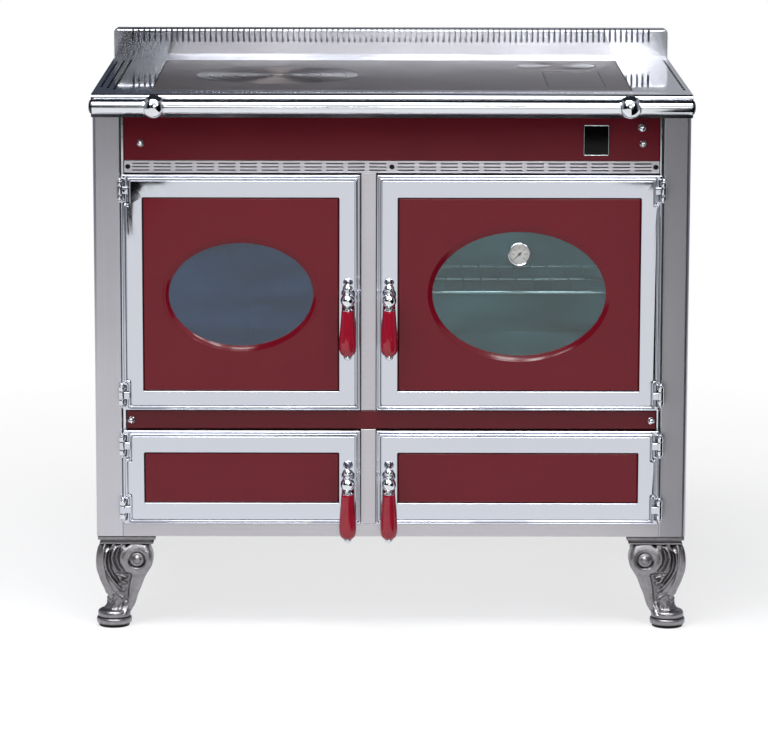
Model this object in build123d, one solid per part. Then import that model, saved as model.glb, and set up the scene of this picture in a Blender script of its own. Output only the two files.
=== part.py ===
from build123d import *

import os
from dataclasses import dataclass
from math import atan2, degrees

# Wood-burning cooking stove on four cast legs: firebox and ash drawer on the left, oven and
# wood store on the right, a cast top plate with lift-out rings, and a towel rail in front.
#
# Millimetres. While it is modelled, X = 0 is the middle, Y = 0 the front of the worktop's
# folded edge, +Y runs to the back and Z = 0 is the floor. The parts are written with Y moved
# so that the origin lies under the centre of the whole stove's box.

# ---------------------------------------------------------------- overall
WORKTOP_WIDTH = 1000.0
WORKTOP_DEPTH = 650.0
WORKTOP_HEIGHT = 915.5
LEG_HEIGHT = 160.5
SHEET = 2.0
BODY_SIDE_INSET = 0.5
BODY_FRONT = 25.0
BODY_REAR_INSET = 10.0

# ---------------------------------------------------------------- worktop and upstand
FASCIA_HEIGHT = 38.5
FASCIA_BEND = 7.0
UPSTAND_HEIGHT = 52.5
UPSTAND_DEPTH = 40.0
UPSTAND_CHAMFER = (7.0, 4.0)
UPSTAND_SLOT = 4.0
UPSTAND_SLOT_PITCH = 10.0
UPSTAND_SLOT_MARGIN = 33.5
UPSTAND_SLOT_DROP = 24.0
UPSTAND_SLOT_BACK = 18.0
VENT_LENGTH = 28.6
VENT_PITCH = 36.0
VENT_WIDTH = 4.0
VENT_ROW_PITCH = 12.0
VENT_ROWS_LEFT = 3
VENT_ROWS_RIGHT = 1
VENT_EDGE = 34.0
VENT_EDGE_RIGHT = 9.5
VENT_FRONT = 89.5
VENT_COUNT = 14

# ---------------------------------------------------------------- cast top plate
PLATE_SIDE_MARGIN = 98.0
PLATE_FRONT_MARGIN = 70.0
PLATE_REAR_MARGIN = 80.0
PLATE_THICKNESS = 10.0
PLATE_GAP = 1.5
LEDGE_WIDTH = 10.0
RING_FROM_LEFT = 204.3
RING_FROM_FRONT = 247.0
RING_RADII = (140.5, 119.0, 97.0, 75.0, 53.0)
RING_BEVEL = 4.0
LID_GAP = 0.4
LID_STEP = 5.0
LID_REBATE = 5.0
FLUE_COVER_FROM_RIGHT = 109.0
FLUE_COVER_FROM_REAR = 89.0
FLUE_COVER_RADIUS = 69.0
SOOT_LID_FROM_RIGHT = 41.0
SOOT_LID_FROM_FRONT = 48.0
SOOT_LID_WIDTH = 97.0
SOOT_LID_TO_COVER = 38.0
LIFT_SLOT = (22.0, 7.0)
LIFT_SLOT_DEPTH = 3.0

# ---------------------------------------------------------------- towel rail
RAIL_RADIUS = 12.0
RAIL_OFFSET = 25.0
RAIL_DROP = 18.0
RAIL_BALL_RADIUS = 20.0
RAIL_BALL_INSET = 106.0
RAIL_NECK_RADIUS = 9.0
RAIL_SEAT_GAP = 0.1
RAIL_END_INSET = 4.0
RAIL_CAP_LENGTH = 6.0

# ---------------------------------------------------------------- front, from the side inwards
COLUMN_WIDTH = 45.5
COLUMN_BEND = 7.0
COLUMN_RETURN = 22.0
TRIM_STRIP_WIDTH = 5.0
TRIM_STRIP_GAP = 1.5
TRIM_STRIP_SETBACK = 0.5
FRONT_PLATE_SETBACK = 9.0
FRONT_PLATE_THICKNESS = 3.0
MULLION_CENTRE = -38.7
MULLION_WIDTH = 24.4

# ---------------------------------------------------------------- front, from the floor up
PLINTH_HEIGHT = 21.3
LOWER_DOOR_GAP = 2.7
LOWER_DOOR_HEIGHT = 160.7
BAND_GAP_BELOW = 1.0
BAND_HEIGHT = 31.3
UPPER_DOOR_GAP = 3.0
UPPER_DOOR_TOP_GAP = 2.1
GRILLE_HEIGHT = 19.9
UPPER_FASCIA_HEIGHT = 73.0
UPPER_FASCIA_GAP = 0.5
UPPER_FASCIA_TOP_GAP = 2.0
STRIP_END_GAP = 0.5
GRILLE_SLOT_LENGTH = 28.6
GRILLE_SLOT_PITCH = 36.0
GRILLE_SLOT_HEIGHT = 2.6
GRILLE_ROW_PITCH = 5.6
GRILLE_ROWS = 3
GRILLE_CENTRE_GAP = 18.6
TILE_SIZE = (42.0, 51.0)
TILE_FROM_RIGHT = 159.0
TILE_FROM_FASCIA_BOTTOM = 35.0
TILE_RIM = 1.6
TILE_THICKNESS = 2.4
TILE_RECESS = 0.6

# ---------------------------------------------------------------- doors
DOOR_SIDE_GAP = 1.5
DOOR_MULLION_GAP = 1.1
DOOR_PROUD = 18.0
RIM_STEP = 6.0
RIM_WIDTH = 4.5
RIM_BEVEL = 4.5
RIM_CORNER = 3.0
DOOR_BORDER_SIDE = 37.0
UPPER_BORDER = (34.5, 38.5)
LOWER_BORDER = (38.5, 37.7)
PANEL_GAP = 1.2
PANEL_SETBACK = 1.5
PANEL_THICKNESS = 2.5
BEAD_HEIGHT = 3.0
BEAD_SLOPE = 2.0
GLASS_THICKNESS = 4.0
GLASS_LAP = 8.0
LINER_THICKNESS = 3.0
LINER_LAP = 8.0
GLASS_CLIP = (16.0, 6.0)
SEAL_WIDTH = 8.0
SEAL_INSET = 4.0
SEAL_CLEARANCE = 0.3
MOUTH_INSET = 12.0
COMPARTMENT_INSET = 18.0
COMPARTMENT_HEADROOM = 18.0
FIREBOX_WINDOW = (121.0, 87.0)
FIREBOX_BEAD = (127.0, 97.0)
OVEN_WINDOW = (145.3, 104.7)
OVEN_BEAD = (153.5, 115.8)
WINDOW_LIFT = (0.0, 1.5)
LOWER_FLANGE = 8.0

# ---------------------------------------------------------------- hinges
HINGE_OUT = 1.0
HINGE_FORWARD = 2.0
KNUCKLE_RADIUS = 5.5
KNUCKLE_LENGTHS = (9.0, 14.0, 9.0)
KNUCKLE_GAP = 0.3
KNUCKLE_RELIEF = 0.8
HINGE_PIN_RADIUS = 2.5
PIN_RUNNING = 0.06
FINIAL_RADIUS = 3.6
FINIAL_LENGTH = 5.0
HINGE_INSET_UPPER = 25.5
HINGE_INSET_LOWER = 25.5
BRACKET_THICKNESS = 4.4
BRACKET_WEB_GAP = 0.7

# ---------------------------------------------------------------- handles
HANDLE_INSET = 21.3
HANDLE_REACH = 33.0
SPINDLE_RADIUS = 5.0
SPINDLE_RUNNING = 0.06
ROSETTE = (9.0, 2.5)
ROSETTE_GAP = 0.3
BALL_RADIUS = 12.0
CAP_TOP = 28.0
CAP_RADIUS = 8.5
CAP_DROPS = (5.0, 10.0, 14.0)
CAP_NECK_RADIUS = 5.2
FERRULE_RADIUS = 10.3
FERRULE_SPAN = (13.0, 17.0)
FERRULE_LIP = 1.5
GRIP_LENGTH = 76.0
GRIP_TOP_RADIUS = 10.8
GRIP_SWELL = (26.0, 13.0)
GRIP_MAX_RADIUS = 14.4
GRIP_MAX_AT = 52.0
GRIP_SHOULDER = (68.0, 12.0)
GRIP_END_RADIUS = 8.5
END_BUTTON_RADIUS = 7.5
END_BUTTON_LENGTH = 8.5
FINGER_THICKNESS = 4.0
FINGER_HEIGHT = 11.0
FINGER_GAP = 1.3
FINGER_SETBACK = 0.6
UPPER_HANDLE_DROP = 6.3
LOWER_HANDLE_DROP = 3.9

# ---------------------------------------------------------------- oven thermometer
DIAL_RADIUS = 19.5
DIAL_DEPTH = 6.0
DIAL_BEZEL = 2.0
DIAL_FACE_UP = 4.0
DIAL_DROP = 37.0
DIAL_STEM_RADIUS = 4.0
DIAL_STEM_HOLE = 4.5
DIAL_NUT = (8.0, 3.0)
NEEDLE_PIN_RADIUS = 0.8
NEEDLE_PIN_SETBACK = 0.5
NEEDLE_RUNNING = 0.06
NEEDLE_HUB_RADIUS = 2.4
NEEDLE_THICKNESS = 0.6
NEEDLE_GAP = 0.3
NEEDLE_LENGTH = 13.0
NEEDLE_TAIL = 5.0
NEEDLE_HALF_WIDTHS = (1.1, 0.3)
NEEDLE_ANGLE = 225.0

# ---------------------------------------------------------------- inside
FIREBOX_WALL = 3.0
FIREBOX_SIDE_GAP = 14.0
FIREBOX_REAR_GAP = 83.0
FIREBOX_TOP_GAP = 17.0
FIREBOX_FLOOR_DROP = 29.0
BRICK_THICKNESS = 30.0
BRICK_GAP = 0.3
BRICK_JOINT = 0.5
GRATE_SIZE = (200.0, 300.0)
GRATE_GAP = 0.8
GRATE_BORDER = 14.0
GRATE_LIP = 8.0
GRATE_SLOT = 9.0
GRATE_SLOTS = 10
OVEN_REAR_GAP = 103.0
OVEN_RUNNER = (8.0, 6.0)
OVEN_RUNNER_LEVELS = (70.0, 146.0, 222.0)
RACK_LEVEL = 1
RACK_SIDE_GAP = 1.5
RACK_FRONT_GAP = 12.0
RACK_DEPTH = 300.0
RACK_BAR = 6.0
RACK_WIRE_RADIUS = 1.7
RACK_WIRE_PITCH = 30.0
ASH_PAN_SIDE_GAP = 14.0
ASH_PAN_REAR_GAP = 54.0
ASH_PAN_HEIGHT = 90.0
ASH_PAN_FRONT_GAP = 6.0
PAN_WALL = 1.5
BAFFLE_FROM_REAR = 220.0
BAFFLE_HOLE = (64.0, 56.0)
DAMPER_PLATE = (84.0, 72.0, 3.0)
DAMPER_GAP = 0.3
DAMPER_ROD_RADIUS = 3.5
DAMPER_RUNNING = 0.08
DAMPER_FROM_RIGHT = 83.0
DAMPER_DROP = 57.5
DAMPER_KNOB = (6.5, 9.0)
DAMPER_COLLAR = (5.0, 3.0)
FLUE_COLLAR_RADIUS = 70.0
FLUE_COLLAR_WALL = 3.0
FLUE_COLLAR_LENGTH = 50.0
FLUE_FLANGE = (14.0, 3.0)
FLUE_COLLAR_DROP = 125.0

# ---------------------------------------------------------------- legs, from the outer corner
LEG_OUT = 2.5
LEG_PLATE = (4.5, 102.8, 7.5)
LEG_NECK = (7.9, 98.5, 6.3)
KNEE = (0.8, 113.0)
THIGH = (7.0, 84.0)
ANKLE_IN = (19.7, 67.5)
ANKLE_HEIGHT = 50.0
VOLUTE_DROP = 42.5
VOLUTE_IN = 70.5
VOLUTE_RADIUS = 28.5
VOLUTE_SETBACK = 3.5
VOLUTE_BUTTON = (6.5, 3.0)
VOLUTE_BROW = 0.75
VOLUTE_CHIN = (0.55, 0.9)
FOOT_CENTRE = 30.0
FOOT_RADII = (30.0, 28.0)
FOOT_HEIGHTS = (2.0, 18.0, 30.0)
INSTEP_INSET = 4.0
PAD_RADIUS = 26.0
LEG_ARM = 45.0

# ---------------------------------------------------------------- derived places
HALF_WIDTH = WORKTOP_WIDTH / 2
BODY_HALF = HALF_WIDTH - BODY_SIDE_INSET
BODY_BACK = WORKTOP_DEPTH - BODY_REAR_INSET
CARCASS_TOP = WORKTOP_HEIGHT - FASCIA_HEIGHT
PLINTH_TOP = LEG_HEIGHT + PLINTH_HEIGHT
FLOOR_TOP = PLINTH_TOP + SHEET
COLUMN_INNER = BODY_HALF - COLUMN_WIDTH
FRONT_PLATE_FRONT = BODY_FRONT + FRONT_PLATE_SETBACK
FRONT_PLATE_BACK = FRONT_PLATE_FRONT + FRONT_PLATE_THICKNESS
UPSTAND_FRONT = WORKTOP_DEPTH - UPSTAND_DEPTH

PLATE_X = (-HALF_WIDTH + PLATE_SIDE_MARGIN, HALF_WIDTH - PLATE_SIDE_MARGIN)
PLATE_Y = (PLATE_FRONT_MARGIN, WORKTOP_DEPTH - PLATE_REAR_MARGIN)
PLATE_BOTTOM = WORKTOP_HEIGHT - PLATE_THICKNESS
RING_CENTRE = (PLATE_X[0] + RING_FROM_LEFT, PLATE_Y[0] + RING_FROM_FRONT)
FLUE_COVER_CENTRE = (PLATE_X[1] - FLUE_COVER_FROM_RIGHT, PLATE_Y[1] - FLUE_COVER_FROM_REAR)

RAIL_Z = WORKTOP_HEIGHT - RAIL_DROP
RAIL_END = HALF_WIDTH - RAIL_END_INSET

UPPER_FASCIA_TOP = CARCASS_TOP - UPPER_FASCIA_TOP_GAP
UPPER_FASCIA_Z = (UPPER_FASCIA_TOP - UPPER_FASCIA_HEIGHT, UPPER_FASCIA_TOP)
STRIP_HALF = COLUMN_INNER - TRIM_STRIP_GAP - TRIM_STRIP_WIDTH - STRIP_END_GAP
GRILLE_TOP = UPPER_FASCIA_Z[0] - UPPER_FASCIA_GAP
GRILLE_Z = (GRILLE_TOP - GRILLE_HEIGHT, GRILLE_TOP)
LOWER_DOOR_Z = (PLINTH_TOP + LOWER_DOOR_GAP, PLINTH_TOP + LOWER_DOOR_GAP + LOWER_DOOR_HEIGHT)
BAND_Z = (LOWER_DOOR_Z[1] + BAND_GAP_BELOW, LOWER_DOOR_Z[1] + BAND_GAP_BELOW + BAND_HEIGHT)
UPPER_DOOR_Z = (BAND_Z[1] + UPPER_DOOR_GAP, GRILLE_Z[0] - UPPER_DOOR_TOP_GAP)

DOOR_FACE = BODY_FRONT - DOOR_PROUD
RIM_FACE = DOOR_FACE + RIM_STEP
PANEL_FACE = DOOR_FACE + PANEL_SETBACK
GLASS_FRONT = PANEL_FACE + PANEL_THICKNESS
GLASS_BACK = GLASS_FRONT + GLASS_THICKNESS
LINER_BACK = BODY_FRONT + LINER_THICKNESS
SEAL_BACK = FRONT_PLATE_FRONT - SEAL_CLEARANCE
DOOR_OUTER = COLUMN_INNER - DOOR_SIDE_GAP
MULLION_X = (MULLION_CENTRE - MULLION_WIDTH / 2, MULLION_CENTRE + MULLION_WIDTH / 2)
LEFT_DOOR_X = (-DOOR_OUTER, MULLION_X[0] - DOOR_MULLION_GAP)
RIGHT_DOOR_X = (MULLION_X[1] + DOOR_MULLION_GAP, DOOR_OUTER)
HINGE_X = DOOR_OUTER + HINGE_OUT
HINGE_Y = DOOR_FACE + HINGE_FORWARD
HANDLE_Y = DOOR_FACE - HANDLE_REACH
KNUCKLE_STACK = sum(KNUCKLE_LENGTHS)

FINGER_Y = (LINER_BACK + FINGER_SETBACK, LINER_BACK + FINGER_SETBACK + FINGER_THICKNESS)

FLUE_COLLAR_Z = WORKTOP_HEIGHT - FLUE_COLLAR_DROP
DAMPER_X = HALF_WIDTH - DAMPER_FROM_RIGHT
DAMPER_Z = WORKTOP_HEIGHT - DAMPER_DROP
BAFFLE_FRONT = BODY_BACK - BAFFLE_FROM_REAR
FRONT_REACH = max(RAIL_OFFSET + RAIL_BALL_RADIUS, GRIP_MAX_RADIUS - HANDLE_Y)
REAR_REACH = max(WORKTOP_DEPTH, BODY_BACK + FLUE_COLLAR_LENGTH)
CENTRE_Y = (REAR_REACH - FRONT_REACH) / 2

PAST = 1.0  # how far a cut runs past the face that it leaves


# ---------------------------------------------------------------- helpers
def box(x, y, z):
    """A block between the pairs of X, Y and Z."""
    size = (x[1] - x[0], y[1] - y[0], z[1] - z[0])
    centre = ((x[0] + x[1]) / 2, (y[0] + y[1]) / 2, (z[0] + z[1]) / 2)
    return Pos(*centre) * Box(*size)


def grown(span, by):
    """A pair of limits moved apart at both ends."""
    return (span[0] - by, span[1] + by)


def middle(span):
    """The middle of a pair of limits."""
    return (span[0] + span[1]) / 2


def edge_spans(span, wall):
    """The limits of two walls that stand inside a pair of limits, one at each end."""
    return (span[0], span[0] + wall), (span[1] - wall, span[1])


def facing_front(y):
    """The X-Z plane at depth y, whose normal points to the front."""
    return Plane(origin=(0, y, 0), x_dir=(1, 0, 0), z_dir=(0, -1, 0))


def slab(outline, front, back):
    """A flat piece of an X-Z outline between two depths."""
    return extrude(facing_front(back) * outline, amount=back - front)


def rod_y(x, z, radius, y):
    """A round bar along Y."""
    return slab(Pos(x, z) * Circle(radius), y[0], y[1])


def rod_x(y, z, radius, x):
    """A round bar along X."""
    return Pos(middle(x), y, z) * Rot(0, 90, 0) * Cylinder(radius, x[1] - x[0])


def rod_z(x, y, radius, z):
    """A round bar along Z."""
    return Pos(x, y, middle(z)) * Cylinder(radius, z[1] - z[0])


def rectangle(x, z, corner=0.0):
    """An X-Z rectangle between limits, with rounded corners if asked."""
    width, height = x[1] - x[0], z[1] - z[0]
    shape = RectangleRounded(width, height, corner) if corner else Rectangle(width, height)
    return Pos(middle(x), middle(z)) * shape


def turned(points):
    """A solid turned about its own Z axis from (radius, height) points, joined by lines."""
    outline = Polyline(*[(r, 0, z) for r, z in points], close=True)
    return revolve(make_face(outline), Axis.Z)


def dome(radius, length):
    """A round foot on Z = 0 under a spherical cap, with a straight skirt if it is taller than round."""
    rise = min(radius, length)
    ball = (radius**2 + rise**2) / (2 * rise)
    cap = rod_z(0, 0, radius, (length - rise, length)) & (Pos(0, 0, length - ball) * Sphere(ball))
    return cap + rod_z(0, 0, radius, (0, length - rise)) if length > radius else cap


def save(name, shape):
    """Write one node, moved so that the origin is under the stove's middle."""
    solids = Pos(0, -CENTRE_Y, 0) * shape
    export_step(solids, f"parts/{name}.step")


def group(shapes):
    """Separate solids kept in one node."""
    return Compound(children=[solid for shape in shapes for solid in shape.solids()])


# ---------------------------------------------------------------- carcass
def side_panel(side):
    """A steel side, folded round the front corner and back again."""
    outer = BODY_HALF
    front = box((COLUMN_INNER, outer), (BODY_FRONT, BODY_BACK), (LEG_HEIGHT, CARCASS_TOP))
    front = fillet(front.edges().filter_by(Axis.Z).group_by(Axis.Y)[0].sort_by(Axis.X)[-1], COLUMN_BEND)
    hollow = box((COLUMN_INNER - PAST, outer - SHEET), (BODY_FRONT + SHEET, BODY_BACK + PAST),
                 (LEG_HEIGHT - PAST, CARCASS_TOP + PAST))
    corner = hollow.edges().filter_by(Axis.Z).group_by(Axis.Y)[0].sort_by(Axis.X)[-1]
    panel = front - fillet(corner, COLUMN_BEND - SHEET)
    panel += box((COLUMN_INNER, COLUMN_INNER + SHEET), (BODY_FRONT + SHEET, FRONT_PLATE_FRONT),
                 (FLOOR_TOP, CARCASS_TOP))
    panel += box((outer - COLUMN_RETURN, outer - SHEET), (BODY_BACK - SHEET, BODY_BACK),
                 (FLOOR_TOP, CARCASS_TOP))
    return panel if side > 0 else mirror(panel, about=Plane.YZ)


def base_tray():
    """The floor of the stove, folded down all round; its front fold is the plinth."""
    inner = BODY_HALF - SHEET
    x = (-inner, inner)
    y = (BODY_FRONT + SHEET, BODY_BACK - SHEET)
    tray = box(x, y, (LEG_HEIGHT, FLOOR_TOP))
    corners = tray.edges().filter_by(Axis.Z).group_by(Axis.Y)[0]
    tray = fillet(corners, COLUMN_BEND - SHEET)
    tray -= box(grown(x, -SHEET), grown(y, -SHEET), (LEG_HEIGHT - PAST, PLINTH_TOP))
    plinth = box((-COLUMN_INNER, COLUMN_INNER), (BODY_FRONT, BODY_FRONT + SHEET), (LEG_HEIGHT, PLINTH_TOP))
    return tray + plinth


def back_panel():
    """The rear sheet, with the hole for the flue collar."""
    inner = BODY_HALF - COLUMN_RETURN
    panel = box((-inner, inner), (BODY_BACK - SHEET, BODY_BACK), (FLOOR_TOP, CARCASS_TOP))
    hole = rod_y(FLUE_COVER_CENTRE[0], FLUE_COLLAR_Z, FLUE_COLLAR_RADIUS - FLUE_COLLAR_WALL,
                 (BODY_BACK - SHEET - PAST, BODY_BACK + PAST))
    return panel - hole


def front_plate(doors):
    """The steel front behind the doors, with a mouth for each and two trim strips."""
    x = (-COLUMN_INNER, COLUMN_INNER)
    y = (FRONT_PLATE_FRONT, FRONT_PLATE_BACK)
    plate = box(x, y, (FLOOR_TOP, CARCASS_TOP))
    for door in doors:
        plate -= box(door.mouth_x, grown(y, PAST), door.mouth_z)
    for side in (-1, 1):
        edge = side * (COLUMN_INNER - TRIM_STRIP_GAP)
        strip = sorted((edge, edge - side * TRIM_STRIP_WIDTH))
        plate += box(strip, (BODY_FRONT + TRIM_STRIP_SETBACK, FRONT_PLATE_FRONT), (FLOOR_TOP, CARCASS_TOP))
    return plate - rod_y(DAMPER_X, DAMPER_Z, DAMPER_ROD_RADIUS + DAMPER_RUNNING, grown(y, PAST))


def mullion(handle_heights):
    """The brushed channel between the doors, slotted where the latches turn in."""
    z = (FLOOR_TOP, GRILLE_Z[0])
    channel = box(MULLION_X, (BODY_FRONT, FRONT_PLATE_FRONT), z)
    channel -= box(grown(MULLION_X, -SHEET), (BODY_FRONT + SHEET, FRONT_PLATE_FRONT + PAST), grown(z, PAST))
    slot_y = (FINGER_Y[0] - FINGER_SETBACK, FRONT_PLATE_FRONT + PAST)
    for height in handle_heights:
        channel -= box(grown(MULLION_X, PAST), slot_y, grown((height, height), FINGER_HEIGHT))
    band = box(grown(MULLION_X, PAST), (BODY_FRONT - PAST, BODY_FRONT + SHEET), grown(BAND_Z, PANEL_GAP))
    return channel - band


def enamel_strip(z):
    """A red enamelled strip folded back to the front plate."""
    x = (-STRIP_HALF, STRIP_HALF)
    strip = box(x, (BODY_FRONT, FRONT_PLATE_FRONT), z)
    return strip - box(grown(x, -SHEET), (BODY_FRONT + SHEET, FRONT_PLATE_FRONT + PAST), grown(z, -SHEET))


def upper_fascia():
    """The strip under the worktop, bored for the damper rod."""
    through = (BODY_FRONT - PAST, FRONT_PLATE_FRONT)
    bore = rod_y(DAMPER_X, DAMPER_Z, DAMPER_ROD_RADIUS + DAMPER_RUNNING, through)
    return enamel_strip(UPPER_FASCIA_Z) - bore


def middle_fascia():
    """The strip between the upper and lower doors, in front of the mullion."""
    behind = (BODY_FRONT + SHEET, FRONT_PLATE_FRONT + PAST)
    return enamel_strip(BAND_Z) - box(grown(MULLION_X, PAST), behind, grown(BAND_Z, PAST))


def vent_grille():
    """The slotted strip over the doors: rows of slots in groups, both sides of the middle."""
    x = (-STRIP_HALF, STRIP_HALF)
    strip = box(x, (BODY_FRONT, FRONT_PLATE_FRONT), GRILLE_Z)
    strip -= box(grown(x, -SHEET), (BODY_FRONT + SHEET, FRONT_PLATE_FRONT + PAST), grown(GRILLE_Z, PAST))
    per_side = int((STRIP_HALF - GRILLE_CENTRE_GAP / 2) // GRILLE_SLOT_PITCH)
    slot_x = [GRILLE_CENTRE_GAP / 2 + GRILLE_SLOT_LENGTH / 2 + GRILLE_SLOT_PITCH * i for i in range(per_side)]
    centre = middle(GRILLE_Z)
    slot_z = [centre + GRILLE_ROW_PITCH * (i - (GRILLE_ROWS - 1) / 2) for i in range(GRILLE_ROWS)]
    places = [Pos(side * along, up) for side in (-1, 1) for along in slot_x for up in slot_z]
    slots = Sketch() + [place * Rectangle(GRILLE_SLOT_LENGTH, GRILLE_SLOT_HEIGHT) for place in places]
    return strip - slab(slots, BODY_FRONT - PAST, BODY_FRONT + SHEET + PAST)


def tile_limits():
    """The dark tile's X and Z limits on the upper fascia."""
    centre = (HALF_WIDTH - TILE_FROM_RIGHT, UPPER_FASCIA_Z[0] + TILE_FROM_FASCIA_BOTTOM)
    half = (TILE_SIZE[0] / 2, TILE_SIZE[1] / 2)
    return (centre[0] - half[0], centre[0] + half[0]), (centre[1] - half[1], centre[1] + half[1])


def tile_frame():
    """The thin metal rim round the tile."""
    x, z = tile_limits()
    y = (BODY_FRONT - TILE_THICKNESS, BODY_FRONT)
    return box(x, y, z) - box(grown(x, -TILE_RIM), grown(y, PAST), grown(z, -TILE_RIM))


def tile():
    """The dark glass tile, a little behind its rim."""
    x, z = tile_limits()
    y = (BODY_FRONT - TILE_THICKNESS + TILE_RECESS, BODY_FRONT)
    return box(grown(x, -TILE_RIM), y, grown(z, -TILE_RIM))


# ---------------------------------------------------------------- worktop
def worktop():
    """Folded sheet with a rounded front edge, side vents and a ledge for the cast plate."""
    x, y, z = (-HALF_WIDTH, HALF_WIDTH), (0, WORKTOP_DEPTH), (CARCASS_TOP, WORKTOP_HEIGHT)
    skin = fillet(box(x, y, z).edges().filter_by(Axis.X).group_by(Axis.Y)[0].sort_by(Axis.Z)[-1], FASCIA_BEND)
    hollow = box(grown(x, -SHEET), grown(y, -SHEET), (z[0] - PAST, z[1] - SHEET))
    bend = hollow.edges().filter_by(Axis.X).group_by(Axis.Y)[0].sort_by(Axis.Z)[-1]
    skin -= fillet(bend, FASCIA_BEND - SHEET)
    cut_x, cut_y = grown(PLATE_X, PLATE_GAP), grown(PLATE_Y, PLATE_GAP)
    skin += box(grown(cut_x, SHEET), grown(cut_y, SHEET), (PLATE_BOTTOM - SHEET, WORKTOP_HEIGHT))
    skin -= box(cut_x, cut_y, (PLATE_BOTTOM, WORKTOP_HEIGHT + PAST))
    ledge_z = grown((PLATE_BOTTOM - SHEET, PLATE_BOTTOM), PAST)
    skin -= box(grown(cut_x, -LEDGE_WIDTH), grown(cut_y, -LEDGE_WIDTH), ledge_z)
    rows = [(-HALF_WIDTH + VENT_EDGE - VENT_ROW_PITCH * i, i) for i in range(VENT_ROWS_LEFT)]
    rows += [(HALF_WIDTH - VENT_EDGE_RIGHT - VENT_ROW_PITCH * i, i) for i in range(VENT_ROWS_RIGHT)]
    for across, stagger in rows:
        for i in range(VENT_COUNT - stagger):
            start = VENT_FRONT + VENT_PITCH * (i + stagger / 2)
            vent_y = grown((start, start), VENT_LENGTH / 2)
            vent_x = grown((across, across), VENT_WIDTH / 2)
            skin -= box(vent_x, vent_y, grown((WORKTOP_HEIGHT - SHEET, WORKTOP_HEIGHT), PAST))
    return skin


def upstand():
    """The rear upstand: a folded box whose slots run over its top edge."""
    half = BODY_HALF
    top = WORKTOP_HEIGHT + UPSTAND_HEIGHT
    across, down = UPSTAND_CHAMFER
    outline = make_face(Polyline((-half, WORKTOP_HEIGHT), (half, WORKTOP_HEIGHT), (half, top - down),
                                 (half - across, top), (across - half, top), (-half, top - down), close=True))
    skin = slab(outline, UPSTAND_FRONT, WORKTOP_DEPTH)
    skin -= box((SHEET - half, half - SHEET), (UPSTAND_FRONT + SHEET, WORKTOP_DEPTH - SHEET),
                (WORKTOP_HEIGHT - PAST, top - SHEET - down))
    skin -= box((across - half, half - across), (UPSTAND_FRONT + SHEET, WORKTOP_DEPTH - SHEET),
                (top - SHEET - down - PAST, top - SHEET))
    first = half - UPSTAND_SLOT_MARGIN
    count = int(2 * first // UPSTAND_SLOT_PITCH) + 1
    start = -(count - 1) * UPSTAND_SLOT_PITCH / 2
    blades = [Pos(start + UPSTAND_SLOT_PITCH * i, top) * Rectangle(UPSTAND_SLOT, 2 * UPSTAND_SLOT_DROP)
              for i in range(count)]
    comb = slab(Sketch() + blades, UPSTAND_FRONT - PAST, UPSTAND_FRONT + UPSTAND_SLOT_BACK)
    return skin - comb


# ---------------------------------------------------------------- cast top
def bevelled_disc(centre, radius):
    """A disc as thick as the plate, narrower below, so that it drops into its seat."""
    half_way = PLATE_BOTTOM + PLATE_THICKNESS / 2
    return Pos(*centre, half_way) * Cone(radius - RING_BEVEL, radius, PLATE_THICKNESS)


def round_seat(centre, radius):
    """The hole that a disc of this radius rests in."""
    return bevelled_disc(centre, radius + LID_GAP)


def soot_lid_limits():
    """The lift-out lid's X and Y limits in the cast plate."""
    right = PLATE_X[1] - SOOT_LID_FROM_RIGHT
    front = PLATE_Y[0] + SOOT_LID_FROM_FRONT
    back = FLUE_COVER_CENTRE[1] - FLUE_COVER_RADIUS - SOOT_LID_TO_COVER
    return (right - SOOT_LID_WIDTH, right), (front, back)


def hotplate():
    """The cast plate, with the seats for rings, flue cover and soot lid."""
    plate = box(PLATE_X, PLATE_Y, (PLATE_BOTTOM, WORKTOP_HEIGHT))
    plate -= round_seat(RING_CENTRE, RING_RADII[0])
    plate -= round_seat(FLUE_COVER_CENTRE, FLUE_COVER_RADIUS)
    x, y = soot_lid_limits()
    plate -= box(grown(x, LID_GAP), grown(y, LID_GAP), (PLATE_BOTTOM + LID_STEP, WORKTOP_HEIGHT + PAST))
    return plate - box(grown(x, -LID_REBATE), grown(y, -LID_REBATE), (PLATE_BOTTOM - PAST, WORKTOP_HEIGHT))


def round_lid(centre, radius):
    """A whole disc, with a slot for the lifter."""
    slot = Pos(*centre, WORKTOP_HEIGHT - LIFT_SLOT_DEPTH) * SlotOverall(*LIFT_SLOT)
    return bevelled_disc(centre, radius) - extrude(slot, amount=LIFT_SLOT_DEPTH + PAST)


def ring(index):
    """One lift-out ring: it rests in the seat outside it and carries the next inside."""
    return bevelled_disc(RING_CENTRE, RING_RADII[index]) - round_seat(RING_CENTRE, RING_RADII[index + 1])


def soot_lid():
    """The rectangular lid over the smoke passage, whose rim rests on the plate's rebate."""
    x, y = soot_lid_limits()
    lid = box(x, y, (PLATE_BOTTOM + LID_STEP + LID_GAP, WORKTOP_HEIGHT))
    inner = -(LID_REBATE + LID_GAP)
    return lid + box(grown(x, inner), grown(y, inner), (PLATE_BOTTOM, PLATE_BOTTOM + LID_STEP + LID_GAP))


# ---------------------------------------------------------------- towel rail
def rail_tube():
    """The round rail."""
    return rod_x(-RAIL_OFFSET, RAIL_Z, RAIL_RADIUS, (-RAIL_END, RAIL_END))


def rail_end_caps():
    """Two domed caps on the ends of the rail."""
    cap = Rot(0, 90, 0) * dome(RAIL_RADIUS, RAIL_CAP_LENGTH)
    return group([Pos(RAIL_END, -RAIL_OFFSET, RAIL_Z) * cap,
                  Pos(-RAIL_END, -RAIL_OFFSET, RAIL_Z) * mirror(cap, about=Plane.YZ)])


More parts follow.
